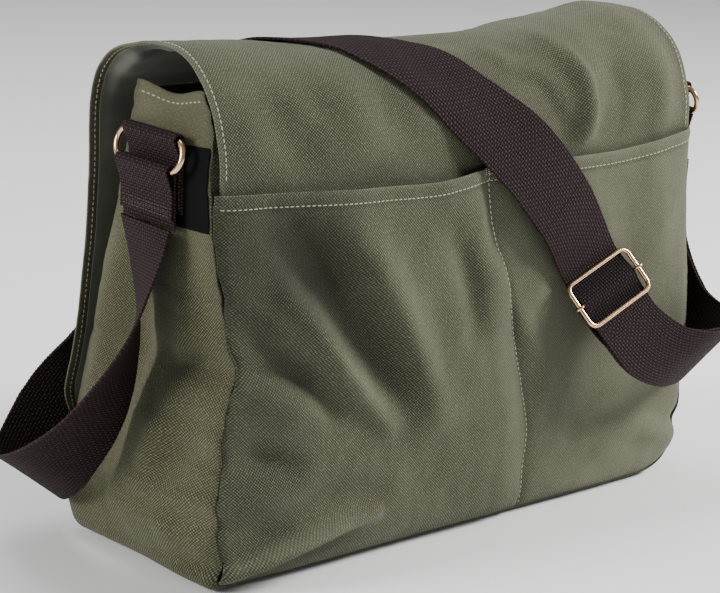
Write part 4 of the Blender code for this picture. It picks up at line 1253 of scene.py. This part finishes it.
def folded(name, line, steps, origin, way, up, broad):
    """Folded webbing: its section (a, b) runs from origin along way and up, its width along broad."""
    path = Path(catmull(line, steps))
    s = np.linspace(0, path.length, int(path.length / WEB_GRID))
    q = path.point(s)
    P = (origin + way * q[:, None, :1] + up * q[:, None, 1:]
         + broad * (web_v * HALF_WEB)[None, :, None])
    U = np.broadcast_to((web_v * HALF_WEB)[None, :], P.shape[:2])
    V = np.broadcast_to(s[:, None], P.shape[:2])
    return web_sheet(name, P, U, V, soft=(1, 1), thick=FOLDED_THICK)


def over_wire(x, z):
    """Half turn of webbing over a ring wire at (x, z)."""
    angles = [math.radians(d) for d in range(0, 200, 20)]
    return [(x - FOLD_RADIUS * math.cos(a), z + FOLD_RADIUS * math.sin(a)) for a in angles]


def tongue(name, side, line):
    """Webbing folded in the XZ plane, its width along Y."""
    return folded(name, line, 10, np.array((0, ANCHOR_Y, 0)), np.array((side, 0, 0)),
                  np.array((0, 0, 1)), np.array((0, 1, 0)))


def build_tab(side, word):
    near = BAR_X - FOLD_RADIUS
    far = near + 1.85
    line = [(near, 214), (near, 228), (near, 240), (near, 250)] + over_wire(BAR_X, BAR_Z)
    line += [(far + 1.2, 247.5), (far, 242), (far, 230), (far, 217)]
    tab = tongue(f"tab_{word}_webbing", side, line)
    place(tab.obj, SHELL, "webbing", f"tab_{word}")


def build_strap_end(side, word, body):
    near = LOW_X - FOLD_RADIUS
    far = near + 2.1
    tail = 210.5 if side < 0 else 206
    line = [(near, 206), (near, 216), (near, 226)] + over_wire(LOW_X, LOW_Z)
    line += [(far + 1.4, 230.5), (far, 225), (far, 216), (far, tail)]
    end = tongue(f"strap_{word}_end_webbing", side, line)
    place(end.obj, body, "webbing", f"strap_{word}_end")
    if side < 0:
        stitch_end(f"end_{word}", side, far + FOLDED_THICK / 2, tail)


def stitch_end(group, side, x, tail):
    """Three rows of wandering stitches across the strap's folded end."""
    rng = np.random.default_rng(3)
    for z in (tail + 3.0, tail + 5.2, tail + 7.4):
        ys = np.linspace(ANCHOR_Y - 22, ANCHOR_Y + 22, 40)
        points = np.stack([0 * ys + side * x, ys, z + 0.3 * rng.standard_normal(40).cumsum() * 0.2], 1)
        normals = np.tile([float(side), 0, 0], (40, 1))
        seams.run(group, points, normals, pitch=2.6, length=2.1, radius=0.3, seed=int(z))


def build_ring(side, word, body):
    top = np.array([side * BAR_X, ANCHOR_Y, BAR_Z])
    low = np.array([side * LOW_X, ANCHOR_Y, LOW_Z])
    centre, up = (top + low) / 2, (top - low) / 2
    radius = np.linalg.norm(up)
    straight = RING_HALF - RING_WIRE - radius
    points = []
    for way in (1, -1):
        for k in range(25):
            a = math.radians(-90 + 180 * k / 24)
            points.append(centre + np.array([0, way * (straight + radius * math.cos(a)), 0])
                          + up * math.sin(a) * way)
    ring = tube(f"ring_{word}_wire", points, RING_WIRE, BRASS, closed=True, sides=28)
    place(ring, body, "antique_brass", f"ring_{word}")


LABEL_HEIGHT, LABEL_WIDTH = 45.0, 30.0
LABEL_LOW = 207.0
LABEL_THICK = 0.9
LABEL_RISE = 0.65  # middle of the label above the side wall's face


def build_label(band, shares):
    """Cloth label lying on the left side, from the back seam to under the ring tab."""
    z = spaced(LABEL_HEIGHT, GRID, (1, 1), 0.5) + LABEL_LOW
    v = spaced(LABEL_WIDTH, GRID, (1, 1), 0.5) / LABEL_WIDTH * 0.31 + 0.012
    arm = slice(0, band.P.shape[0] // 3)
    heights = band.P[arm, band.P.shape[1] // 4, 2]
    rows = np.interp(z, heights[::-1], np.arange(len(heights))[::-1])
    cols = np.interp(v, shares, np.arange(len(shares)))
    ii, jj = np.meshgrid(rows, cols, indexing="ij")
    p, n = band.at(ii.ravel(), jj.ravel(), band.facing((-1, 0, 0), int(rows[0])))
    P = (p + n * LABEL_RISE).reshape(*ii.shape, 3)
    zz = np.broadcast_to(z[:, None], ii.shape)
    vv = np.broadcast_to(v[None, :] * 95.0, ii.shape)
    made = Sheet("side_label_cloth", P, vv, zz, LABEL_THICK, LABEL)
    place(made.obj, SHELL, "label", "side_label")


# ================================================================ slide
FRAME_RISE = 2.55  # frame above the middle of the webbing
FRAME_HALF = (28.2, 15.0)  # half width across the strap and half length along it
FRAME_CORNER = 5.5
FRAME_WIRE = 1.5
BAR_DROP = 6.3  # bar below the frame
BAR_WIRE = 0.9
EYE_RADIUS = 2.6  # eyes of the bar round the frame's sides
SEWN_RADIUS = 1.85  # middle of the sewn end's turn round the bar
SEWN_RISE = -0.05  # middle of its second layer, from the bar's middle
SEWN_NARROWING = 0.98
slide_centre = SLIDE_AT + outward * FRAME_RISE


def build_slide_frame():
    points = []
    for sw, sl, start_deg in ((1, 1, 0), (-1, 1, 90), (-1, -1, 180), (1, -1, 270)):
        for k in range(13):
            a = math.radians(start_deg + 90 * k / 12)
            u = sw * (FRAME_HALF[0] - FRAME_CORNER) + FRAME_CORNER * math.cos(a)
            v = sl * (FRAME_HALF[1] - FRAME_CORNER) + FRAME_CORNER * math.sin(a)
            points.append(slide_centre + across * u + along * v)
    loop = tube("slide_frame_wire", points, FRAME_WIRE, BRASS, closed=True, sides=28)
    place(loop, SLIDE, "antique_brass", "slide_frame")


def build_slide_bar():
    """Thin bar with an eye round each side of the frame."""
    half_w = FRAME_HALF[0]
    eye = [(half_w + EYE_RADIUS * math.cos(math.radians(d)), EYE_RADIUS * math.sin(math.radians(d)))
           for d in range(170, -41, -10)]
    eye += [(half_w + 1.7, -3.2), (half_w + 1.0, -5.0), (half_w - 0.6, -BAR_DROP)]
    line = eye + [(u, -BAR_DROP) for u in (18, 9, 0)]
    line += [(-u, v) for u, v in reversed(line[:-1])]
    points = [slide_centre + across * u + outward * v for u, v in catmull(line, 3)]
    bar = tube("slide_bar_wire", points, BAR_WIRE, BRASS)
    place(bar, BAR, "antique_brass", "slide_bar")


def build_sewn_end():
    """The strap's end, folded round the bar."""
    line = [(29, 1.2), (23, -0.4), (17, -SEWN_RADIUS + 0.2), (12, -SEWN_RADIUS), (6, -SEWN_RADIUS)]
    line += [(-SEWN_RADIUS * math.sin(a), -SEWN_RADIUS * math.cos(a)) for a in
             (math.radians(d) for d in range(0, 181, 20))]
    line += [(4.5, SEWN_RISE + 0.6), (8, SEWN_RISE), (14, SEWN_RISE)]
    core = slide_centre - outward * BAR_DROP
    end = folded("strap_sewn_end_webbing", line, 8, core, along, outward, across * SEWN_NARROWING)
    place(end.obj, BAR, "webbing", "strap_sewn_end")


# ================================================================ inside
LINING_THICK = 0.8
LINING_GAP = 4.6    # wall of the lining inside the faces' outlines
LINING_HALF = 181.5


def build_lining():
    """Lining bag: wall loops closed round, then a floor."""
    levels = np.concatenate([np.linspace(6, 14, 5), np.linspace(18, 262, int(244 / (GRID * 2)))])
    count = int(1000 / (GRID * 1.5))
    t = np.arange(count + 1) / count * 2 * math.pi
    zz, tt = np.meshgrid(levels, t, indexing="ij")
    cx, cz = np.cos(tt), np.sin(tt)
    squareness = 0.16
    sx = np.sign(cx) * np.abs(cx) ** squareness
    sy = np.sign(cz) * np.abs(cz) ** squareness
    floor = 1 - np.clip((14 - zz) / 8, 0, 1) ** 2 * 0.05
    back = profile(BACK_Y, zz) + LINING_GAP
    front = profile(FRONT_Y, zz) - LINING_GAP
    x = LINING_HALF * sx * floor
    y = (back + front) / 2 + (front - back) / 2 * sy * floor
    wave = 1.3 * fractal(x / 40, zz / 50, 71)
    y = y - sy * (1.4 + wave * 0.6)
    P = np.stack([x, y, zz], -1)
    made = Sheet("bag_lining", P, tt * 160, zz, LINING_THICK, INNER_LINING, soft=(0, 1, 0, 0))
    place(made.obj, SHELL, "inner_lining", "body_lining")
    xs = np.linspace(-176, 176, 60)
    ys = np.linspace(-54, 58, 26)
    X, Y = np.meshgrid(xs, ys, indexing="ij")
    Z = 6.2 + 0.4 * fractal(X / 30, Y / 30, 77)
    base = Sheet("bag_lining_floor", np.stack([X, Y, Z], -1), X, Y, LINING_THICK, INNER_LINING)
    place(base.obj, SHELL, "inner_lining")


def paint_nodes():
    """Hard CAD nodes that stay on show get their finish."""
    for name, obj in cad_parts.items():
        if name.startswith("snap") or name == "base_board":
            material, slot = (SNAP, "snap_metal") if name.startswith("snap") else (BOARD, "board")
            obj.data.materials.clear()
            obj.data.materials.append(material)
            if material is BOARD and not obj.data.uv_layers:
                obj.data.uv_layers.new(name="cloth")


# ================================================================ studio
LIGHT_ON_BAG, LIGHT_SEEN = 0.32, 0.82  # the world's strength for surfaces and for the camera
FLOOR_HALF = 30.0
FLOOR_DROP = 0.0005                    # floor just under the base, so that the two don't flicker
AIM = (0, 0, 0.14)
# name, place in metres, size, watts
LAMPS = (("key", (1.7, -1.1, 1.5), 0.7, 96.0),
         ("side", (-2.0, 0.6, 0.9), 0.8, 44.0),
         ("top", (0.2, 0.9, 2.4), 1.4, 22.0))
CAMERA_AT = (-0.81857, -0.91486, 0.46588)
CAMERA_TURN = (40.386, -15.30, 2.644)  # yaw, pitch and roll
LENS = 101.7


def build_world():
    """White surroundings, dimmer for the bag than for the camera."""
    world = bpy.data.worlds.new("studio")
    bpy.context.scene.world = world
    world.use_nodes = True
    tree = world.node_tree
    dim = tree.nodes["Background"]
    tune(dim, Color=(1, 1, 1), Strength=LIGHT_ON_BAG)
    seen = node(tree, "ShaderNodeBackground")
    tune(seen, Strength=LIGHT_SEEN)
    choice = node(tree, "ShaderNodeMixShader")
    is_camera = node(tree, "ShaderNodeLightPath").outputs["Is Camera Ray"]
    for slot, value in enumerate((is_camera, dim.outputs[0], seen.outputs[0])):
        feed(choice.inputs[slot], value)
    feed(tree.nodes["World Output"].inputs[0], choice.outputs[0])


def build_floor():
    mesh = bpy.data.meshes.new("floor")
    corners = [(x * FLOOR_HALF, y * FLOOR_HALF, 0) for x, y in ((-1, -1), (1, -1), (1, 1), (-1, 1))]
    mesh.from_pydata(corners, [], [(0, 1, 2, 3)])
    mat, _, shader = start("pale_floor")
    tune(shader, Base_Color=(0.95, 0.95, 0.95), Roughness=0.9)
    mesh.materials.append(mat)
    floor = bpy.data.objects.new("floor", mesh)
    floor.location.z = -FLOOR_DROP
    bpy.context.scene.collection.objects.link(floor)


def build_lamps():
    for name, spot, size, power in LAMPS:
        light = bpy.data.lights.new(name, "AREA")
        light.size = size
        light.energy = power
        obj = bpy.data.objects.new(name, light)
        obj.location = spot
        aim = Vector(AIM) - Vector(spot)
        obj.rotation_euler = aim.to_track_quat("-Z", "Y").to_euler()
        bpy.context.scene.collection.objects.link(obj)


def build_camera():
    yaw, pitch, roll = (math.radians(a) for a in CAMERA_TURN)
    forward = Vector((math.sin(yaw) * math.cos(pitch), math.cos(yaw) * math.cos(pitch), math.sin(pitch)))
    right = Vector((math.cos(yaw), -math.sin(yaw), 0))
    up = right.cross(forward)
    x = right * math.cos(roll) + up * math.sin(roll)
    y = up * math.cos(roll) - right * math.sin(roll)
    data = bpy.data.cameras.new("camera")
    data.sensor_width = 36.0
    data.lens = LENS
    data.clip_start, data.clip_end = 0.05, 50
    cam = bpy.data.objects.new("camera", data)
    m = Matrix.Identity(4)
    for k in range(3):
        m[k][0], m[k][1], m[k][2] = x[k], y[k], -forward[k]
    m.translation = Vector(CAMERA_AT)
    cam.matrix_world = m
    bpy.context.scene.collection.objects.link(cam)
    bpy.context.scene.camera = cam


# ================================================================ assembly
band, band_shares = build_band()
build_pocket()
build_panel("bag_back_panel", BACK_Y, 265.0, "back_panel", False)
build_panel("bag_front_panel", FRONT_Y, 276.0, "front_panel", True)
build_lining()
build_flap()
build_strap()
for side, word, body in ((-1, "left", RING_L), (1, "right", RING_R)):
    build_tab(side, word)
    build_strap_end(side, word, body)
    build_ring(side, word, body)
build_label(band, band_shares)
build_slide_frame()
build_slide_bar()
build_sewn_end()
paint_nodes()
for group, name, material, body in (("shell", "stitches_body", THREAD, SHELL),
                                    ("flap_back", "stitches_flap_back", THREAD, BACK_BEND),
                                    ("flap_front", "stitches_flap_front", THREAD, FRONT_BEND),
                                    ("end_left", "stitches_end_left", DARK_THREAD, RING_L)):
    place(seams.make(group, name, material), body, None)
build_world()
build_floor()
build_lamps()
build_camera()
